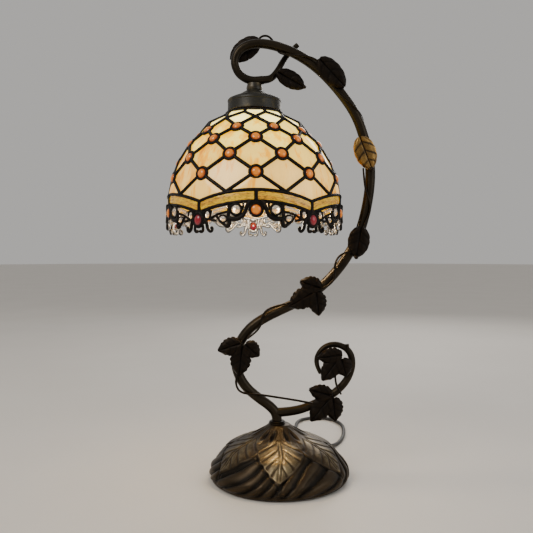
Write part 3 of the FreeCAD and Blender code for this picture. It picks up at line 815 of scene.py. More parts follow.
# ---- lead ----------------------------------------------------------------------------------------
@dataclass
class Lead:
    """The mains lead: strain relief, cord with its put-away coil, tie and plug."""

    radius: float = 2.6
    exit: tuple = (62.5, 89.3, 8.5)
    to_coil: tuple = (
        (71.5, 102.2, 7.0), (82, 118.5, 2.7), (92, 138, 2.6), (99.5, 164, 2.6), (104, 193, 2.6),
        (105.5, 219, 2.6), (101.5, 240, 2.6), (92.5, 257, 2.6), (77.5, 266.8, 2.6), (59.5, 267.4, 2.6),
        (43.5, 258.7, 2.6), (34.5, 243, 2.6), (31.5, 224, 2.6), (30, 205, 2.6), (24.5, 188, 2.7),
        (13.5, 175.5, 3.2), (-1.5, 168, 3.4))
    to_plug: tuple = (
        (4, 161.5, 13.2), (-12, 161.5, 12.2), (-27, 156.5, 7.6), (-38.5, 146.5, 5.2),
        (-44.5, 132.5, 5.8), (-45, 122, 6.6))
    coil_centre: tuple = (8.0, 131.0)
    turns: tuple = ((36.2, 3.4), (31.0, 3.4), (25.8, 3.4), (28.4, 7.9), (33.6, 7.9), (33.6, 13.1),
                    (28.4, 13.1), (30.8, 13.2))
    turn_points: int = 16
    start_angle: float = 104.4
    end_angle: float = 97.5
    declared: float = 1.78
    exit_way: tuple = (0.574, 0.819, 0)
    exit_height: float = 9.0
    plug_centre: tuple = (-45, 108.5, 6.5)
    plug_size: tuple = (18, 23, 12.6)

    def coil(self) -> list[Vector]:
        """The coil's own points: each turn keeps its radius and layer, then steps to the next."""
        count = len(self.turns) - 1
        sweep = 360.0 * count - (self.start_angle - self.end_angle)
        held = 0.75 + 0.25 * math.cos(math.tau / self.turn_points)
        points = []
        for k in range(1, count * self.turn_points):
            share = k / (count * self.turn_points)
            turn = min(int(share * count), count - 1)
            step = rise(share * count - turn, 0.72, 1.0)
            radius = self.turns[turn][0] + (self.turns[turn + 1][0] - self.turns[turn][0]) * step
            height = self.turns[turn][1] + (self.turns[turn + 1][1] - self.turns[turn][1]) * step
            angle = math.radians(self.start_angle + sweep * share)
            points.append(Vector((self.coil_centre[0] + radius / held * math.cos(angle),
                                  self.coil_centre[1] + radius / held * math.sin(angle), height)))
        return points

    def cord(self) -> bpy.types.Object:
        """Lays the cord: out of the base, round to the coil, and on to the plug."""
        data = bpy.data.curves.new("mains_lead", "CURVE")
        data.dimensions = "3D"
        data.bevel_depth = self.radius * MM
        data.bevel_resolution = 4
        data.resolution_u = 6
        data.use_fill_caps = True
        route = [self.exit, *self.to_coil, *self.coil(), *self.to_plug]
        spline = data.splines.new("NURBS")
        spline.points.add(len(route) - 1)
        for point, at in zip(spline.points, route):
            point.co = (at[0] * MM, at[1] * MM, at[2] * MM, 1.0)
        spline.order_u = 3
        spline.use_endpoint_u = True
        piece = bpy.data.objects.new("mains_lead", data)
        bpy.context.collection.objects.link(piece)
        return finished(piece, Coat.LEAD, "stand", "lead_plastic", "lead_to_coil", "lead_coil",
                        "lead_to_plug")

    def strain_relief(self) -> bpy.types.Object:
        """Makes the ribbed, tapering boot that the cord leaves the base through."""
        way = Vector(self.exit_way).normalized()
        lift = Vector((0, 0, self.exit_height))
        start = way * 80 + lift
        end = Vector(self.exit)
        mouth = way * 88.6 + lift
        ribs = 7
        points = [start, mouth]
        widths = [3.9, 4.3]
        for k in range(ribs):
            for share, extra in ((0.1, 0.25), (0.55, 0.25), (0.6, -0.45), (0.98, -0.45)):
                t = (k + share) / ribs
                points.append(mouth.lerp(end, t))
                widths.append(4.25 - 1.15 * t + extra)
        points.append(end)
        widths.append(3.0)
        piece = strokes("strain_relief", [points], 1.0, [widths], 4, 2, False)
        return finished(piece, Coat.PLUG, "stand", "lead_plastic", "cord_bushing")

    def plug(self) -> bpy.types.Object:
        """Moulds the plug's body, waisted towards the cord, with grip ridges on both faces."""
        bpy.ops.object.select_all(action="DESELECT")
        bpy.ops.mesh.primitive_cube_add(size=1)
        body = named("plug_grip")
        body.data.transform(Matrix.Translation(Vector(self.plug_centre) * MM)
                            @ Matrix.Diagonal((*(side * MM for side in self.plug_size), 1)))
        bpy.ops.object.mode_set(mode="EDIT")
        bpy.ops.mesh.select_all(action="SELECT")
        bpy.ops.mesh.subdivide(number_cuts=5)
        bpy.ops.object.mode_set(mode="OBJECT")
        middle_x, _, middle_z = (c * MM for c in self.plug_centre)
        for vertex in body.data.vertices:
            back = rise(vertex.co.y / MM, 104, 120)
            vertex.co.x = middle_x + (vertex.co.x - middle_x) * (1 - 0.42 * back)
            vertex.co.z = middle_z + (vertex.co.z - middle_z) * (1 - 0.3 * back)
        applied(body, "BEVEL", width=1.6 * MM, segments=3, limit_method="ANGLE")
        parts = [smooth(body, 60)]
        for k in range(5):
            for height in (0.6, 12.4):
                line = [Vector((x, 103.5 + 2.2 * k, height)) for x in (-49.5 + 0.4 * k, -40.5 - 0.4 * k)]
                parts.append(strokes("ridge", [line], 0.55, sides=2, smooth_line=False))
        collar = [Vector((-45, 119.6, 6.55)), Vector((-45, 121.9, 6.6))]
        parts.append(strokes("collar", [collar], 4.1, smooth_line=False))
        return finished(joined("plug_moulding", parts), Coat.PLUG, "stand", "plug_plastic", "plug_body")

    def build(self) -> None:
        cord = self.cord()
        relief = self.strain_relief()
        plug = self.plug()
        dressed(Coat.CONTACT, "plug_blades")
        dressed(Coat.TIE, "lead_tie")
        2 * self.radius * MM


# ---- base ----------------------------------------------------------------------------------------
@dataclass
class Base:
    """The cast base: six veined leaves laid round a cone, with curled eyes above and folds below."""

    leaves: int = 6
    columns: int = 420
    outside: tuple = ((5.3, 66.5), (13, 66.5), (21, 61), (36, 52.6), (48, 47.7), (65.6, 39), (75.5, 28),
                      (85.2, 17), (87.2, 7), (84, 2))
    inside: tuple = ((80.5, 2), (83.2, 7), (81.3, 15.6), (72.2, 25.4), (63, 35.2), (46, 43.5), (34, 48.2),
                     (17.5, 56.5), (5.3, 60.5))
    half_width: tuple = ((17, 2.2), (23, 3.4), (27, 7), (31, 13), (39, 20), (47, 24.8), (55, 27.4),
                         (61, 27.2), (67, 24), (73, 16.5), (79, 7.5), (83.5, 0))
    vein_starts: tuple = (31, 43.5, 55.5, 66.5)
    fold: float = 15.0
    depth_share: float = 0.72
    deepest: float = 3.3
    sweep: float = 0.95
    shoulder: tuple = (85.2, 17)
    collar_notches: int = 12

    def off_leaf(self, turn: float) -> float:
        """Degrees from the nearest leaf's middle."""
        step = 360 / self.leaves
        return (turn + step / 2) % step - step / 2

    def height(self, turn: float, reach: float) -> float:
        """How far the surface stands off the plain cone.

        Args:
            turn: degrees round from the front.
            reach: distance out from the axis, carried on down the rim.

        Returns:
            Millimetres, never above zero.
        """
        turn += 1.6 * math.sin(math.radians(2 * turn) + reach * 0.09) * rise(reach, 34, 60)
        off = self.off_leaf(turn)
        across = min(reach, 87) * math.sin(math.radians(off))
        side = abs(across)
        half = through(self.half_width, reach)
        edge = half - side
        leaf = self.leaf(side, half, reach)
        ground = self.ground(off, edge, reach, turn)
        on_leaf = rise(edge, -0.6, 0.9) * (1 - rise(reach, 83, 84.5)) * rise(reach, 29, 37)
        height = ground + (leaf - ground) * on_leaf
        lean = side - 8.6 - 0.3 * (reach - 26)
        eye = math.hypot(lean, (reach - 27) * 0.36)
        curl = math.exp(-((eye - 3.7) / 0.9) ** 2) * rise(3.5 - lean, 0, 2)
        height += 1.1 * curl - 3.0 * math.exp(-(eye / 2.0) ** 2)
        height *= rise(reach, 12.5, 21)
        height *= self.depth_share * (1 - rise(reach, 97, 101))
        return max(-self.deepest, min(0.0, height))

    def leaf(self, side: float, half: float, reach: float) -> float:
        """The face of a leaf: a low crown, a doubled midrib and side veins that slant to the tip."""
        crown = -0.15 - 1.1 * (side / max(half, 1.0)) ** 2
        rib = math.exp(-((side - 1.8) / 0.75) ** 2) * (1 - rise(reach, 77, 82)) * rise(reach, 33, 40)
        veins = 0.0
        for start in self.vein_starts:
            gap = (reach - start - 1.12 * side + 0.01 * side * side) / 1.5
            veins += math.exp(-(gap / 0.85) ** 2) - 0.3 * math.exp(-((gap + 2.0) / 1.0) ** 2)
        veins *= rise(side, 1.6, 3.6) * rise(half - side, 0.6, 2.6)
        edge = 0.4 * math.exp(-((half - side - 1.0) / 0.9) ** 2)
        return crown - 1.1 * rib - 1.05 * veins + edge

    def ground(self, off: float, edge: float, reach: float, turn: float) -> float:
        """The surface between leaves: lines along their flanks, and rounded folds below them.

        Args:
            off: degrees from the nearest leaf's middle; not used.
            edge: millimetres inside the leaf's outline, negative outside it.
            reach: distance out from the axis, carried on down the rim.
            turn: degrees round from the front.

        Returns:
            Millimetres off the plain cone.
        """
        lines = -1.0 + (-1.0 + 0.7 * math.cos(edge * math.tau / 4.6)) * rise(reach, 33, 42)
        bend = 0.35 * math.sin(math.radians(turn * 3) + 0.6) + 0.28 * math.sin(math.radians(turn * 5))
        spread = (turn + self.sweep * (reach - 60)) / self.fold + bend
        part = spread % 1.0
        fold = math.sin(math.pi * part ** 0.62) ** 0.75
        crease = math.exp(-((part - 0.55) / 0.05) ** 2) * rise(reach, 64, 76) * (int(spread) % 3 == 0)
        folds = -4.6 + 4.0 * fold - 0.8 * crease
        share = rise(reach, 50, 62)
        under = 1.4 * math.exp(-((edge + 1.9) / 1.7) ** 2) * rise(reach, 44, 56)
        return lines + (folds - lines) * share - under

    def build(self) -> None:
        """Casts the base and its fittings."""
        outer = path_through([(r, 0, z) for r, z in self.outside[1:]], 14)
        outer = [Vector((self.outside[0][0], 0, self.outside[0][1]))] + outer
        line = outer + [Vector((r, 0, z)) for r, z in self.inside] + [outer[0]]
        rows = len(line) - 1
        edge, brim = self.shoulder

        def place(u: float, v: float) -> tuple[Vector, float]:
            """Puts one point of the casting on its outline, then onto its relief."""
            index = min(rows, round(v * rows))
            at = line[index]
            turn = u * 360
            offset = 0.0
            if 0 < index < len(outer) - 1:
                along = line[index + 1] - line[index - 1]
                outward = Vector((-along.z, 0, along.x)).normalized()
                reach = at.x if at.z > brim else edge + (brim - at.z)
                offset = self.height(turn, reach)
                at = at + outward * offset
            a = math.radians(turn)
            spot = Vector((at.x * math.sin(a), -at.x * math.cos(a), at.z))
            return spot, self.rub_and_front_sheen(offset, turn, at)

        casting = cleaned(sheet_of("leaf_base", self.columns, rows, place))
        finished(smooth(casting, 70), Coat.BASE, "stand", "cast_bronze", "base_casting")
        self.collar()
        dressed(Coat.FELT, "felt_pad")
        dressed(Coat.STEEL, "base_cover_plate", "plate_screws", "stem_lock_nut", "stem_nipple",
                "ballast_washer")
        dressed(Coat.IRON, "base_ballast")

    def rub_and_front_sheen(self, offset: float, turn: float, at: Vector) -> float:
        """How bright a point is rubbed: the leaves most and the low folds least, plus a painted highlight
        on the front leaf.
        """
        off = self.off_leaf(turn)
        half = through(self.half_width, at.x)
        on_leaf = rise(half - abs(math.sin(math.radians(off)) * at.x), -1, 2) * rise(at.x, 26, 40)
        # Painted highlight: the leaf that faces the front is made brighter, where the bulb's light falls on
        # it.
        front = 0.1 * rise(40 - min(turn, 360 - turn), 0, 12)
        return rise(offset, -3.3, 0.3) * (0.68 + (0.14 + front) * on_leaf)

    def collar(self) -> None:
        """Turns the beaded ring that seats the stem."""
        low, high = (Vector(corner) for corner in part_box("collar_ring"))
        middle = (low + high) / 2
        base = low.z / MM
        profile = ((6.4, 0.0), (9.4, 0.0), (10.5, 0.9), (10.5, 1.7), (9.6, 2.1), (9.9, 3.0), (8.9, 3.9),
                   (6.4, 4.0))
        rows = len(profile)

        def place(u: float, v: float) -> tuple[Vector, float]:
            """Puts one point on the ring's outline, with shallow notches round its belt."""
            radius, up = profile[round(v * rows) % rows]
            wave = abs(math.sin(math.radians(u * 360 * self.collar_notches)))
            notch = 0.22 * wave if 0.5 < up < 2 else 0.0
            a = u * math.tau
            return (Vector((middle.x / MM + (radius - notch) * math.cos(a),
                            (radius - notch) * math.sin(a), base + up)), 0.35 + notch)

        piece = cleaned(sheet_of("stem_collar", 96, rows, place))
        finished(smooth(piece, 35), Coat.ARM, "stand", "arm_bronze", "collar_ring")


# ---- arm and vine --------------------------------------------------------------------------------
def in_plane(points: tuple, depth: float = 0.0) -> list[Vector]:
    """Route points from (x, z) pairs in a plane across Y."""
    return [Vector((x, depth, z)) for x, z in points]


@dataclass
class Arm:
    """The bent tube that carries the shade, its rising tail and the branch with a curl."""

    radius: float = 6.2
    line: tuple = (
        (-2.5, 67), (-2.5, 78), (-11, 88.5), (-27, 99.5), (-42, 112.5), (-52, 130), (-54.5, 149),
        (-49.5, 167.5), (-37.5, 185), (-20, 197.5), (8, 211), (34, 223), (60, 243), (82, 270),
        (98, 299), (107, 330), (112, 362), (112, 390), (104.5, 420), (94, 449), (75, 476),
        (51, 502), (26, 520), (-2, 532), (-28, 536), (-48, 529.5), (-56, 514), (-51, 499),
        (-41, 491.5), (-30.5, 489), (-20, 490.5))
    tail: tuple = ((-22, 0, 490.2), (-20, 0, 490.5), (-9.5, 0, 492), (-1, 5, 504), (5, 10, 517),
                   (13, 12, 528), (23, 12, 537))
    branch: tuple = (
        (-2.5, 80.5), (19, 81.5), (44, 90.5), (68, 103.5), (84, 119.5), (91.5, 139), (88.5, 156.5),
        (74, 166), (57.5, 164), (47, 152.5), (46, 139), (51.5, 129.5))
    taper_from: int = 21

    def rubbed_and_lit(self, piece: bpy.types.Object) -> bpy.types.Object:
        """Marks where hands and cloth have rubbed a bar bright, in waves along it, and paints a highlight
        on its upper side and on the side that faces the front.
        """
        def rubbed(vertex: bpy.types.MeshVertex) -> float:
            """The rub at one point, with the painted highlight added."""
            x, y, z = (c / MM for c in vertex.co)
            waver = 0.5 + 0.5 * math.sin(0.19 * z + 0.13 * x + 1.7 * math.sin(0.05 * z))
            # Painted highlight: faces that point up, or towards the front, are marked brighter.
            return 0.3 + 0.12 * waver + 0.2 * max(0.0, vertex.normal.z) - 0.08 * vertex.normal.y
        marked(piece, "relief", rubbed)
        return piece

    def build(self) -> None:
        """Bends the arm, the tail and the branch."""
        count = len(self.line)
        taper = [1.0 - 0.2 * rise(k, self.taper_from, count - 4) for k in range(count)]
        taper[-1] = taper[-2] = 0.84
        arm = strokes("bent_arm", [in_plane(self.line)], self.radius, [taper], 7, 10)
        finished(self.rubbed_and_lit(arm), Coat.ARM, "stand", "arm_bronze", "arm_tube")
        tail_taper = [1.24, 1.22, 1.08, 0.98, 0.9, 0.84, 0.76]
        tail = strokes("rising_tail", [[Vector(p) for p in self.tail]], 4.0, [tail_taper], 6, 10)
        finished(self.rubbed_and_lit(tail), Coat.ARM, "stand", "arm_bronze", "loop_tail")
        parts = len(self.branch)
        branch_taper = [1.18 - 0.66 * k / (parts - 1) for k in range(parts)]
        branch = strokes("curled_branch", [in_plane(self.branch)], 5.0, [branch_taper], 6, 10)
        spur = strokes("spur", [in_plane(((85.5, 158), (84, 163), (83.6, 166.2)), -3.0)], 2.3,
                       [[1.0, 0.95, 1.1]], 4, 4)
        finished(self.rubbed_and_lit(joined("curled_branch", [branch, spur])), Coat.ARM, "stand",
                 "arm_bronze", "branch")


class Blade(Enum):
    """The two kinds of leaf on the vine."""

    PLAIN = "plain"
    IVY = "ivy"


@dataclass
class Vine:
    """Cast leaves and the thin wire that winds from one to the next."""

    front: float = -11.4
    wire: float = 1.35
    plain_outline: tuple = ((0, 0.12), (0.06, 0.27), (0.18, 0.42), (0.36, 0.5), (0.56, 0.5), (0.74, 0.42),
                            (0.88, 0.28), (0.96, 0.15), (1, 0.05))
    ivy_outline: tuple = ((0, 0.16), (0.06, 0.32), (0.16, 0.45), (0.3, 0.52), (0.48, 0.52), (0.64, 0.45),
                          (0.78, 0.33), (0.9, 0.18), (1, 0.03))

    def blade(self, name: str, base: tuple, tip: tuple, width: float, depth: float, kind: Blade,
              cup: float, glint: float = 0.0) -> bpy.types.Object:
        """Shapes one leaf.

        Args:
            name: the leaf's name.
            base: where its stalk is, (x, z).
            tip: its tip, (x, z).
            width: its full width.
            depth: the Y of its middle.
            kind: plain or ivy.
            cup: how far its edges curl back.
            glint: a painted highlight, how much brighter than the others it is made.

        Returns:
            The leaf, not yet finished.
        """
        start = Vector((base[0], depth, base[1]))
        along = Vector((tip[0] - base[0], 0, tip[1] - base[1]))
        across = Vector((-along.z, 0, along.x)).normalized()
        length = along.length
        ivy = kind is Blade.IVY
        outline = self.ivy_outline if ivy else self.plain_outline
        teeth = 5.5 if ivy else 5.0
        notch = 0.16 if ivy else 0.07

        def place(u: float, v: float) -> tuple[Vector, float]:
            """Puts one point of the leaf."""
            s = v * 2 - 1
            tooth = 1 - abs(math.sin(math.pi * (u * teeth + 0.2))) ** 0.7
            half = through(outline, u) * width * (1 - notch * tooth * abs(s) ** 3)
            t = s * half
            rib = math.exp(-(t / 0.95) ** 2) * (1 - 0.6 * u)
            run = (u * length - 0.75 * abs(t)) / (length / 3.6)
            vein = math.exp(-(((run % 1.0) - 0.5) / 0.12) ** 2) * rise(abs(t), 0.6, 2.4)
            puff = 1.5 * math.sin(math.pi * min(1.0, abs(s))) * (0.8 + 0.2 * math.sin(11 * u))
            lift = puff - 1.0 * rib - 0.55 * vein - cup * s * s * (0.5 + 0.5 * u)
            lift -= 1.6 * rise(u, 0.75, 1.0)
            # glint adds the painted highlight; the rib and veins are darker and the edges brighter.
            mark = glint + 0.3 - 0.24 * rib - 0.16 * vein + 0.3 * rise(abs(s), 0.84, 1.0) + 0.06 * puff
            return start + along * u + across * t - Vector((0, lift, 0)), mark

        leaf = sheet_of(name, 34, 20, place)
        cleaned(leaf, 0.01)
        applied(leaf, "SOLIDIFY", thickness=1.5 * MM, offset=0.0)
        return smooth(leaf, 55)

    def with_pip(self, leaf: bpy.types.Object, at: tuple, radius: float, depth: float) -> bpy.types.Object:
        """Adds the small round bud at a leaf's tip."""
        pip = bead("pip", facing(Vector((at[0], depth, at[1])), Vector((0, -1, 0)), (radius,) * 3))
        marked(pip, "relief", lambda vertex: 0.55)
        return joined(leaf.name, [leaf, pip])

    def singles(self) -> None:
        """Makes the five plain leaves along the upper arm, three of them with a bud at the tip."""
        proud = self.front - 0.6
        # The upper-arm leaf's glint is a painted highlight that makes it brighter than the rest.
        leaves = (
            ("leaf_by_loop", "leaf_loop_top", (-25, 543.2), (-60, 518.4), 26, 10.6, 2.2, 0.0, None),
            ("leaf_under_loop", "leaf_hanging", (-2, 498.5), (30, 480.6), 21, -6.6, 2.0, 0.0,
             ((30.6, 480.4), 2.2, -6.6)),
            ("leaf_on_shoulder", "leaf_shoulder", (48, 513.4), (79, 480), 25.4, self.front, 2.6, 0.0, None),
            ("leaf_upper_arm", "leaf_arm_upper", (97.4, 419), (112, 381), 26.4, self.front, 2.8, 0.6,
             ((111.8, 380.4), 2.6, proud)),
            ("leaf_lower_arm", "leaf_arm_lower", (99.5, 310), (93.6, 273.4), 26.4, self.front, 2.8, 0.0,
             ((93.5, 273.6), 2.7, proud)))
        for name, node, base, tip, width, depth, cup, glint, pip in leaves:
            leaf = self.blade(name, base, tip, width, depth, Blade.PLAIN, cup, glint)
            if pip:
                leaf = self.with_pip(leaf, *pip)
            finished(leaf, Coat.LEAF, "stand", "leaf_bronze", node)

    def clusters(self) -> None:
        """Makes the four sprays of three ivy leaves."""
        sprays = {
            "ivy_middle": (((50, 236), (25.5, 244), 21), ((42, 231), (12, 213), 25),
                           ((45, 231), (48.6, 202), 22)),
            "ivy_left": (((-47, 168), (-75, 159), 22), ((-42, 167), (-25, 152), 21),
                         ((-46, 162), (-49.4, 127.5), 25)),
            "ivy_curl": (((76, 154), (47.5, 150), 20), ((71.5, 148), (53, 122), 22),
                         ((76, 149), (82, 127), 22)),
            "ivy_branch": (((64, 104), (36.8, 111), 20), ((62, 101), (39, 71.8), 25),
                           ((66, 101), (69, 71.6), 22)),
        }
        for spray, blades in sprays.items():
            parts = []
            for number, (base, tip, width) in enumerate(blades):
                depth = self.front + 0.5 * number
                parts.append(self.blade(spray + "_blade", base, tip, width, depth, Blade.IVY,
                                        2.6 + 0.4 * number))
            base = blades[0][0]
            stalk = [Vector((base[0], 0, base[1] + 3)), Vector((base[0], self.front * 0.6, base[1] + 2)),
                     Vector((base[0], self.front, base[1] - 1))]
            twig = strokes("twig", [stalk], 1.7, [[1.0, 1.0, 0.8]], 3, 4)
            marked(twig, "relief", lambda vertex: 0.4)
            finished(joined(spray + "_leaves", parts + [twig]), Coat.LEAF, "stand", "leaf_bronze", spray)

    def wires(self) -> None:
        """Winds the thin wire along the arm, in front of it and behind it by turns."""
        routes = (
            ((-27, 8, 540), (-24.5, 8.4, 544.2), (-20, 8.4, 547.0), (-14.6, 8.4, 547.0),
             (-10.4, 8, 544), (-7, 7.4, 539), (-3, 3, 528), (1, -5, 521.5), (9, -7.6, 519),
             (22, -8, 518.4), (36, -8, 516.6),
             (47, -8.6, 511.5), (53, -9, 503), (58, -8.8, 490), (63.5, -8, 482), (72, -7.6, 473.5),
             (84, -7.2, 463), (93, -6.4, 454.5), (100, -1, 448), (104, 6, 441), (104.6, 7.4, 432),
             (103, 1, 426), (101, -6.5, 421), (99.8, -9, 415)),
            ((102, -8.5, 382), (103.5, -7.6, 364), (107, -7.6, 349), (111.4, -7.4, 337),
             (110, -7.4, 326), (104.5, -8, 315), (101, -9, 306)),
            ((92, -9, 281), (80, -8, 279.4), (71, -8, 273), (67.5, -8, 263), (68, -8, 252),
             (66, -8, 244), (58, -8, 237.5), (49, -8.6, 233.4)),
            ((38, -9, 227), (22, -8.2, 221.5), (9, -8, 216.6), (-8, -8, 212.5), (-17, -8, 207.6),
             (-21.4, -8, 199.5), (-22.4, -8, 190), (-29, -8, 181), (-39, -8.8, 173.5)),
            ((-48, -9, 140), (-53.4, -8, 125), (-53, -8, 115), (-48.6, -8, 108), (-40, -8, 105.4),
             (-24, -8.4, 104.6), (0, -9, 101), (22, -9.2, 97.6), (40, -9, 94), (52, -9.4, 92)),
            ((76, -9.6, 105), (72, -8.6, 112), (68.6, -8.4, 121), (68.4, -9, 136)),
        )
        lines = [[Vector(p) for p in route] for route in routes]
        widths = [[0.8] + [1.0] * (len(line) - 2) + [0.75] for line in lines]
        piece = strokes("vine_wire", lines, self.wire, widths, 3, 8)
        # Painted highlight: the wire's upper side is marked brighter.
        marked(piece, "relief", lambda vertex: 0.42 + 0.25 * max(0.0, vertex.normal.z))
        finished(piece, Coat.VINE, "stand", "vine_bronze", "vine_wires")

    def build(self) -> None:
        """Makes every leaf, then the wire."""
        self.singles()
        self.clusters()
        self.wires()


# ---- shade ---------------------------------------------------------------------------------------
@dataclass(frozen=True)
class Row:
    """One ring of crossings of the leading."""

    radius: float
    height: float
    half_column: bool


@dataclass
class Shade:
    """The leaded dome: ten columns of opal panes, beaded crossings, a gold border and a jewelled skirt."""

    axis_x: float = -30.5
    twist: float = 2.0
    bays: int = 5
    centre_z: float = 350.0
    glass: float = 2.4
    bar: float = 2.25
    rail: float = 1.9
    bar_stand: float = 0.7
    inner_bar: float = 1.5
    inner_depth: float = 2.2
    scroll_bar: float = 1.18
    bead_radius: float = 5.5
    # The painted glow of the front bead, the brightest.
    front_heat: float = 1.6
    border_radius: float = 104.6
    border_peak: float = 341.0
    border_drop: float = 11.2
    border_height: float = 8.4
    skirt_radius: float = 105.8
    drop_height: float = 325.6
    ruby_height: float = 315.2

    def __post_init__(self) -> None:
        """Sets out the rows of crossings and the random draws."""
        self.columns = 2 * self.bays
        self.step = 360.0 / self.columns
        self.bay = 360.0 / self.bays
        self.dice = random.Random(11)
        self.rows = {
            "ring": Row(35.0, 447.0, True), "F": Row(38.5, 443.0, True), "E": Row(56.0, 434.0, False),
            "D": Row(67.0, 421.6, True), "C": Row(79.6, 407.6, False), "B": Row(92.3, 387.8, True),
            "A": Row(100.4, 366.7, False), "foot": Row(104.0, 345.2, True)}

    def on(self, radius: float, turn: float, height: float) -> Vector:
        """A point on the shade; turn in degrees from the front, measured to the right."""
        a = math.radians(turn + self.twist)
        return Vector((self.axis_x + radius * math.sin(a), -radius * math.cos(a), height))

    def crossing(self, row: str, turn: float) -> Vector:
        """A crossing of the leading."""
        return self.on(self.rows[row].radius, turn, self.rows[row].height)

    def turn_of(self, row: str, column: int) -> float:
        """Degrees from the front to a row's crossing in one column."""
        return column * self.step + (self.step / 2 if self.rows[row].half_column else 0)

    def crossings(self, row: str) -> list[Vector]:
        """Every crossing of a row, column by column."""
        return [self.crossing(row, self.turn_of(row, k)) for k in range(self.columns)]

    def valley(self, bay: int) -> float:
        """Degrees from the front to the border's lowest point after a bay."""
        return bay * self.bay + self.bay / 2

    def seat(self, at: Vector, size: tuple[float, float, float]) -> Matrix:
        """Where a unit shape goes on the dome, facing straight out of it."""
        return facing(at, self.outward(at), size)

    def stood_out(self, point: Vector) -> Vector:
        """A point of a bar's middle, moved out of the dome."""
        return point + self.outward(point) * self.bar_stand

    def outward(self, point: Vector) -> Vector:
        """The way out of the dome at a point."""
        return (point - Vector((self.axis_x, 0, min(self.centre_z, point.z)))).normalized()

    def border_z(self, turn: float) -> float:
        """Height of the border's middle, which arches in each bay."""
        off = abs((turn + self.bay / 2) % self.bay - self.bay / 2)
        return self.border_peak - self.border_drop * (off / (self.bay / 2)) ** 2

    # ---- glass
    def pane(self, place: Callable[[float, float], Vector], warmth: float) -> bpy.types.Object:
        """Cuts one pane.

        Args:
            place: the pane's surface over u and v, each from 0 to 1.
            warmth: the pane's own number, from 0, milky, to 1, amber.

        Returns:
            The pane, with its thickness.
        """
        def bulged(u: float, v: float) -> tuple[Vector, float]:
            """A point of the pane, a little crowned, and how near it is to the leading."""
            at = place(0.5 + (u - 0.5) * 0.985, 0.5 + (v - 0.5) * 0.985)
            crown = 16 * u * (1 - u) * v * (1 - v)
            rim = max(abs(2 * u - 1), abs(2 * v - 1)) ** 3
            return at + self.outward(at) * (0.8 * crown - 0.7), rim

        sheet = cleaned(sheet_of("pane", 8, 8, bulged, "rim"))
        marked(sheet, "pane", lambda vertex: warmth)
        applied(sheet, "SOLIDIFY", thickness=self.glass * MM, offset=0.0)
        return sheet

    def four_sided(self, top: Vector, right: Vector, low: Vector, left: Vector) -> bpy.types.Object:
        """Cuts a pane between four crossings."""
        return self.pane(lambda u, v: top.lerp(right, u).lerp(left.lerp(low, u), v), self.dice.random())

    def panes(self) -> None:
        """Glazes the seven tiers."""
        half = self.step / 2
        coats = {1: Coat.OPAL_TOP, 2: Coat.OPAL_TOP, 3: Coat.OPAL_UPPER, 4: Coat.OPAL_UPPER,
                 5: Coat.OPAL_MIDDLE, 6: Coat.OPAL_LOW, 7: Coat.OPAL_LOW}
        tiers = {1: [self.top_pane(k * self.step) for k in range(self.columns)]}
        names = ("F", "E", "D", "C", "B", "A", "foot")
        for tier, (top, side, low) in enumerate(zip(names, names[1:], names[2:]), 2):
            tiers[tier] = []
            for k in range(self.columns):
                turn = self.turn_of(top, k)
                tiers[tier].append(self.four_sided(
                    self.crossing(top, turn), self.crossing(side, turn + half),
                    self.crossing(low, turn), self.crossing(side, turn - half)))
        tiers[7] = [self.foot_pane(k * self.step) for k in range(self.columns)]
        for tier, parts in sorted(tiers.items()):
            piece = smooth(joined("opal_tier_%d" % tier, parts), 50)
            finished(piece, coats[tier], "shade", "cream_glass", "glass_tier_%d" % tier)

    def top_pane(self, turn: float) -> bpy.types.Object:
        """Cuts a five-sided pane under the cap."""
        half = self.step / 2
        left, right = self.crossing("ring", turn - half), self.crossing("ring", turn + half)
        low_left, low_right = self.crossing("F", turn - half), self.crossing("F", turn + half)
        point = self.crossing("E", turn)

        def place(u: float, v: float) -> Vector:
            """A point of the pane."""
            low = low_left.lerp(point, 2 * u) if u < 0.5 else point.lerp(low_right, 2 * u - 1)
            return left.lerp(right, u).lerp(low, v)

        return self.pane(place, self.dice.random())

    def foot_pane(self, turn: float) -> bpy.types.Object:
        """Cuts a pane that fans from a bead down to the border."""
        half = self.step / 2
        top = self.crossing("A", turn)

        def place(u: float, v: float) -> Vector:
            """A point of the pane."""
            at = turn + (u - 0.5) * 2 * half
            rail = self.border_z(at) + self.border_height / 2 + self.rail
            return top.lerp(self.on(104.1, at, rail), v)

        return self.pane(place, self.dice.random())

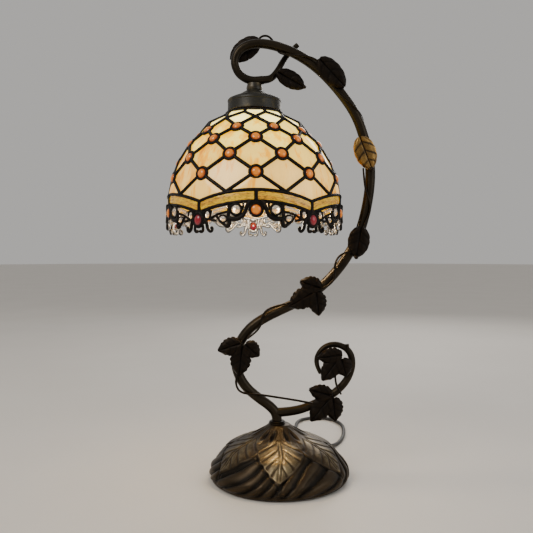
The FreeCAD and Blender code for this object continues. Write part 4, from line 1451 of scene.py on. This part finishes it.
    # ---- leading
    def leading(self) -> None:
        """Solders the came between the panes, the rings round the beads and the border's rails."""
        half = self.step / 2
        beaded = ("D", "C", "B", "A")
        names = ("F", "E", *beaded, "foot")
        bars = []
        for upper, lower in zip(names, names[1:]):
            for k in range(self.columns):
                turn = self.turn_of(upper, k)
                for side in (-half, half):
                    a, b = self.crossing(upper, turn), self.crossing(lower, turn + side)
                    way = (b - a).normalized()
                    start = a + way * (self.bead_radius if upper in beaded else 0.0)
                    end = b - way * (self.bead_radius if lower in beaded else 0.0)
                    bars.append([self.stood_out(start), self.stood_out(end)])
        for start, end in zip(self.crossings("ring"), self.crossings("F")):
            bars.append([self.stood_out(start), self.stood_out(end)])
        inner = [[point - self.outward(point) * self.inner_depth for point in line] for line in bars]
        parts = [strokes("bars", bars, self.bar, sides=2, smooth_line=False),
                 strokes("inner_bars", inner, self.inner_bar, sides=1, smooth_line=False)]
        size = (self.bead_radius + 1.3,) * 3
        for row in beaded:
            parts += [ring("ring", self.seat(at, size), 0.28) for at in self.crossings(row)]
        for row in ("F", "E", "foot"):
            parts += [bead("joint", self.seat(at, (3.0, 3.0, 2.4)), segments=10)
                      for at in self.crossings(row)]
        rails, widths = [], []
        for bay in range(self.bays):
            start_turn = bay * self.bay - self.bay / 2
            for side in (-1, 1):
                lift = side * (self.border_height / 2 + self.rail)
                turns = [start_turn + 6 * n for n in range(13)]
                rails.append([self.on(self.border_radius + 0.2, t, self.border_z(t) + lift) for t in turns])
                widths.append([1.08] * 13)
        parts.append(strokes("rails", rails, self.rail, widths, 3, 4))
        posts = []
        reach = self.border_height / 2 + 2.4
        for k in range(self.columns):
            turn = k * self.step
            z = self.border_z(turn)
            posts.append([self.on(self.border_radius + 0.5, turn, z + reach),
                          self.on(self.border_radius + 0.5, turn, z - reach)])
        parts.append(strokes("posts", posts, self.rail, [[1.25, 1.25]] * len(posts), 2, 2, False))
        crown = ring("crown", Matrix.Translation(self.on(0, 0, 448.2) * MM) @ Matrix.Scale(34.2 * MM, 4),
                     0.055, 64, 10)
        piece = smooth(joined("leading", parts + [crown]), 60)
        self.mark_inside(piece)
        finished(piece, Coat.LEADING, "shade", "black_came", "came_lattice")

    def mark_inside(self, piece: bpy.types.Object) -> None:
        """Marks how far each point of the metal faces in, where the solder is bare and the bulb's light is
        painted on.
        """
        def facing_in(vertex: bpy.types.MeshVertex) -> float:
            """One for a point that faces the axis."""
            return 0.36 - 0.64 * vertex.normal.dot(self.outward(vertex.co / MM))
        marked(piece, "inside", facing_in)

    def beads(self) -> None:
        """Sets the amber beads with painted bulb light: deep brown above, bright below, the front one
        brightest.
        """
        # Painted light: each row's share of the bulb's glow, and the front bead of row A made brightest.
        heat = {"D": 0.0, "C": 0.12, "B": 0.5, "A": 0.62}
        parts = []
        size = (self.bead_radius, self.bead_radius, 3.7)
        for row, share in heat.items():
            for k, at in enumerate(self.crossings(row)):
                own = self.front_heat if (row, k) == ("A", 0) else share * self.dice.uniform(0.7, 1.2)
                parts.append(bead("bead", self.seat(at, size), own, 24))
        size = (self.bead_radius + 0.2, self.bead_radius + 0.2, 3.2)
        for bay in range(self.bays):
            at = self.on(self.skirt_radius, bay * self.bay, self.drop_height)
            parts.append(bead("drop", self.seat(at, size), 0.25, 24))
        piece = smooth(joined("amber_beads", parts), 60)
        finished(piece, Coat.AMBER, "shade", "amber_glass", "amber_cabochons")

    # ---- border and skirt
    def border(self) -> None:
        """Bends the gold strips of the border."""
        parts = []
        reach = self.border_height / 2 + 0.6
        for k in range(self.columns):
            def place(u: float, v: float, first: float = k * self.step) -> tuple[Vector, float]:
                """A point of the strip."""
                turn = first + 0.5 + u * (self.step - 1.0)
                z = self.border_z(turn) + (v - 0.5) * 2 * reach
                swell = 0.5 * math.sin(math.pi * v) + 0.22 * math.sin(37 * u + 5 * v + first)
                return self.on(self.border_radius + swell - 0.4, turn, z), 0.0
            strip = sheet_of("strip", 26, 6, place, "rim")
            marked(strip, "pane", lambda vertex, own=self.dice.random(): own)
            parts.append(applied(cleaned(strip), "SOLIDIFY", thickness=2.3 * MM, offset=0.0))
        piece = smooth(joined("gold_border", parts), 50)
        finished(piece, Coat.BORDER, "shade", "gold_glass", "border_glass")

    def skirt_point(self, bay: int, side: int, s: float, z: float, stand: float = 0.0) -> Vector:
        """A point on the skirt: s millimetres round from a bay's middle, at a height."""
        turn = bay * self.bay + side * math.degrees(s / self.skirt_radius)
        return self.on(self.skirt_radius + stand, turn, z)

    def scrolls(self) -> None:
        """Casts the skirt's scrollwork, each half bay the mirror of the other."""
        lines = (
            ([(5.2, 334.5), (8.4, 331.6), (10.8, 326.4), (12.8, 320.6), (17.5, 316.6), (24, 315.4),
              (29.5, 316.4)], [1.7, 1.5, 1.25, 1.25, 1.4, 1.5, 1.4], 1.6),
            ([(14, 334.2), (13.2, 329.5), (15.0, 325.2)], [1.0, 0.9, 0.7], 1.3),
            ([(29.2, 333.2), (29.6, 327), (29.9, 321), (30, 315.5)], [1.2, 1.0, 1.1, 1.4], 1.6),
            ([(30.2, 323.8), (37, 322.6), (45, 320.0), (51.5, 316.2)], [1.0, 0.9, 0.9, 1.0], 1.3),
            ([(50.4, 325.6), (50.8, 320.5), (52.0, 315.5)], [0.9, 0.9, 1.1], 1.3),
            ([(30, 316.5), (28.6, 311.5), (30.4, 307.6), (33.6, 308.6)], [1.3, 1.4, 1.5, 1.2], 1.5),
            ([(32.8, 308.8), (37.2, 311.4), (41.6, 316.6), (44.8, 320.2)], [1.2, 1.1, 1.1, 1.0], 1.3),
            ([(58.6, 316.8), (55.6, 311.8), (55.2, 306.4), (52.2, 302.2), (48.6, 303.2), (49.2, 306.6)],
             [1.2, 1.3, 1.2, 1.1, 1.0, 1.2], 1.4),
            ([(51.6, 316.4), (47.4, 313.4), (43.2, 314.6)], [1.1, 1.0, 1.0], 1.3),
            ([(61.2, 309.8), (60.4, 305.4), (61.6, 301.6), (64.6, 302.4)], [1.2, 1.1, 1.0, 1.0], 1.3),
            ([(58.9, 324.2), (59.6, 319.6), (60.2, 313.8)], [1.5, 1.5, 1.4], 1.5))
        knobs = ((31.0, 308.2, 2.5), (49.4, 306.2, 2.2), (64.4, 302.8, 1.9), (30.0, 316.6, 2.6),
                 (52.0, 316.2, 2.0), (59.6, 312.8, 2.4))
        rings = ((21.6, 325.8, 6.0, 6.0, 0.24), (54.8, 320.6, 3.5, 4.9, 0.3), (36.4, 315.9, 4.9, 3.9, 0.22))
        parts = []
        for bay in range(self.bays):
            routes, widths = [], []
            for side in (-1, 1):
                for points, shares, width in lines:
                    routes.append([self.skirt_point(bay, side, s, z) for s, z in points])
                    widths.append([share * width for share in shares])
                for s, z, size in knobs:
                    at = self.skirt_point(bay, side, s, z)
                    parts.append(bead("knob", self.seat(at, (size,) * 3), segments=12))
                for s, z, wide, tall, thick in rings:
                    at = self.skirt_point(bay, side, s, z)
                    parts.append(ring("rim", self.seat(at, (wide, tall, 5.2)), thick))
            parts.append(strokes("scroll", routes, self.scroll_bar, widths, 2, 5))
            at = self.skirt_point(bay, 1, 0, self.drop_height)
            parts.append(ring("rim", self.seat(at, (6.7, 6.7, 6.4)), 0.26))
            at = self.on(self.skirt_radius + 0.6, self.valley(bay), self.ruby_height)
            parts.append(ring("rim", self.seat(at, (6.3, 7.2, 6.6)), 0.3))
            web = [self.skirt_point(bay, side, s, z) for side, s, z in
                   ((-1, 10.5, 333.6), (-1, 5, 333.2), (1, 0, 333.0), (1, 5, 333.2), (1, 10.5, 333.6))]
            parts.append(strokes("web", [web], 1.0, [[1.4, 2.0, 1.8, 2.0, 1.4]], 3, 4))
            cheek = [self.on(self.skirt_radius, self.valley(bay) + d, z) for d, z in
                     ((-4.4, 323.4), (-2, 322.6), (0, 323.4), (2, 322.6), (4.4, 323.4))]
            parts.append(strokes("cheek", [cheek], 1.0, [[1.6, 2.0, 2.2, 2.0, 1.6]], 3, 4))
        piece = smooth(joined("scrolls", parts), 60)
        self.mark_inside(piece)
        finished(piece, Coat.LEADING, "shade", "black_came", "scrollwork")

    def jewels(self) -> None:
        """Sets the ruby jewels in the valleys and the clear ones between the scrolls."""
        rubies, clear = [], []
        for bay in range(self.bays):
            at = self.on(self.skirt_radius + 0.8, self.valley(bay), self.ruby_height)
            # Rubies carry a painted glow of the bulb's light; the clear jewels carry none.
            rubies.append(bead("ruby", self.seat(at, (5.2, 6.2, 3.6)), 0.35, 24))
            for side in (-1, 1):
                for s, z, wide, tall, thick in ((21.6, 325.8, 5.2, 5.2, 2.6), (54.8, 320.6, 2.9, 4.2, 2.0),
                                                (36.4, 315.9, 4.3, 3.3, 1.9)):
                    at = self.skirt_point(bay, side, s, z)
                    clear.append(bead("clear", self.seat(at, (wide, tall, thick)), 0.0, 16))
                low, high = self.skirt_point(bay, side, 47.5, 324.0), self.skirt_point(bay, side, 32, 328.4)
                clear.append(strokes("strip", [[low, low.lerp(high, 0.5) + self.outward(low) * 0.5, high]],
                                     2.1, [[0.8, 1.0, 0.9]], 4, 4))
                at = self.skirt_point(bay, side, 10.2, 322.0, -0.4)
                clear.append(bead("clear", self.seat(at, (2.0, 3.4, 1.5)), 0.0, 12))
        finished(smooth(joined("ruby_jewels", rubies), 60), Coat.RUBY, "shade", "ruby_glass",
                 "ruby_cabochons")
        finished(smooth(joined("clear_glass_jewels", clear), 60), Coat.CLEAR, "shade", "clear_glass",
                 "clear_jewels")

    def build(self) -> None:
        """Makes the whole shade."""
        self.panes()
        self.leading()
        self.beads()
        self.border()
        self.scrolls()
        self.jewels()
        dressed(Coat.HEEL, "heel_ring")


# ---- cap, socket and bulb ------------------------------------------------------------------------
@dataclass
class Cap:
    """The turned cap over the shade, with the neck that hangs it from the loop."""

    axis_x: float = -30.5
    outline: tuple = ((5.2, 478), (9.4, 478), (10.6, 476.9), (13.4, 475.4), (17.6, 472.8), (22.4, 470.6),
                      (27.4, 468.6), (31.2, 466.9), (32.7, 465.4), (33, 463.4), (32.4, 462.4),
                      (32.6, 461.2), (32.7, 453.8), (33, 452.8), (32.8, 451.5), (31.8, 451.5),
                      (31.7, 463.4), (31.0, 465.1), (26.5, 467.2), (19.4, 470.2), (12.9, 474.3),
                      (9, 476.6), (5.2, 476.7))

    def build(self) -> None:
        """Turns the cap and finishes the neck."""
        rows = len(self.outline)

        def place(u: float, v: float) -> tuple[Vector, float]:
            """A point on the cap."""
            radius, z = self.outline[round(v * rows) % rows]
            a = u * math.tau
            return Vector((self.axis_x + radius * math.cos(a), radius * math.sin(a), z)), 0.4

        piece = cleaned(sheet_of("turned_cap", 128, rows, place))
        finished(smooth(piece, 30), Coat.CAP, "stand", "black_metal", "shade_cap")
        dressed(Coat.NECK, "neck_coupling")
        dressed(Coat.STEEL, "neck_nipple", "cap_lock_nut")


@dataclass
class Fittings:
    """The socket, its switch and the bulb."""

    axis_x: float = -30.5
    knob_z: float = 433.0
    knob_azimuth: float = 150.0
    ribs: int = 18

    def knob(self) -> None:
        """Moulds the switch's ribbed grip and its shaft."""
        a = math.radians(self.knob_azimuth)
        way = Vector((math.sin(a), -math.cos(a), 0))
        side = Vector((0, 0, 1)).cross(way)
        centre = Vector((self.axis_x, 0, self.knob_z))
        outline = ((0.0, 5.3), (1.99, 5.3), (1.99, 22), (4.2, 22), (5.0, 22.6), (5.3, 24), (5.2, 31.6),
                   (4.6, 33.2), (3.2, 34), (0.0, 33.7))
        rows = len(outline) - 1

        def place(u: float, v: float) -> tuple[Vector, float]:
            """A point on the knob."""
            radius, along = outline[round(v * rows)]
            rib = 0.28 * abs(math.sin(math.pi * self.ribs * u)) if 23 < along < 32 else 0.0
            a = u * math.tau
            return (centre + way * along + side * (radius - rib) * math.cos(a)
                    + Vector((0, 0, 1)) * (radius - rib) * math.sin(a)), 0.4

        piece = cleaned(sheet_of("turn_knob", self.ribs * 6, rows, place))
        finished(smooth(piece, 35), Coat.PHENOLIC, "switch_knob", "black_phenolic", "switch_knob")

    def build(self) -> None:
        """Finishes the socket's and the bulb's parts."""
        self.knob()
        dressed(Coat.SOCKET, "socket_shell", "retaining_ring")
        dressed(Coat.PHENOLIC, "socket_core")
        dressed(Coat.SCREW_SHELL, "socket_screw_shell", "bulb_screw_base")
        dressed(Coat.CONTACT, "socket_contact", "bulb_contact")
        dressed(Coat.PHENOLIC, "bulb_insulator")
        dressed(Coat.BULB, "bulb_globe")
        dressed(Coat.FILAMENT, "bulb_filament")
        dressed(Coat.LEAD, "lead_in_arm")


def main() -> None:
    """Builds the studio and the lamp, sub-assembly by sub-assembly."""
    logging.basicConfig(level=logging.INFO, format="%(name)s: %(message)s")
    for assembly in (Studio(), Lead(), Base(), Arm(), Vine(), Cap(), Shade(), Fittings()):
        log.info("building %s", type(assembly).__name__)
        assembly.build()


if __name__ == "__main__":
    main()
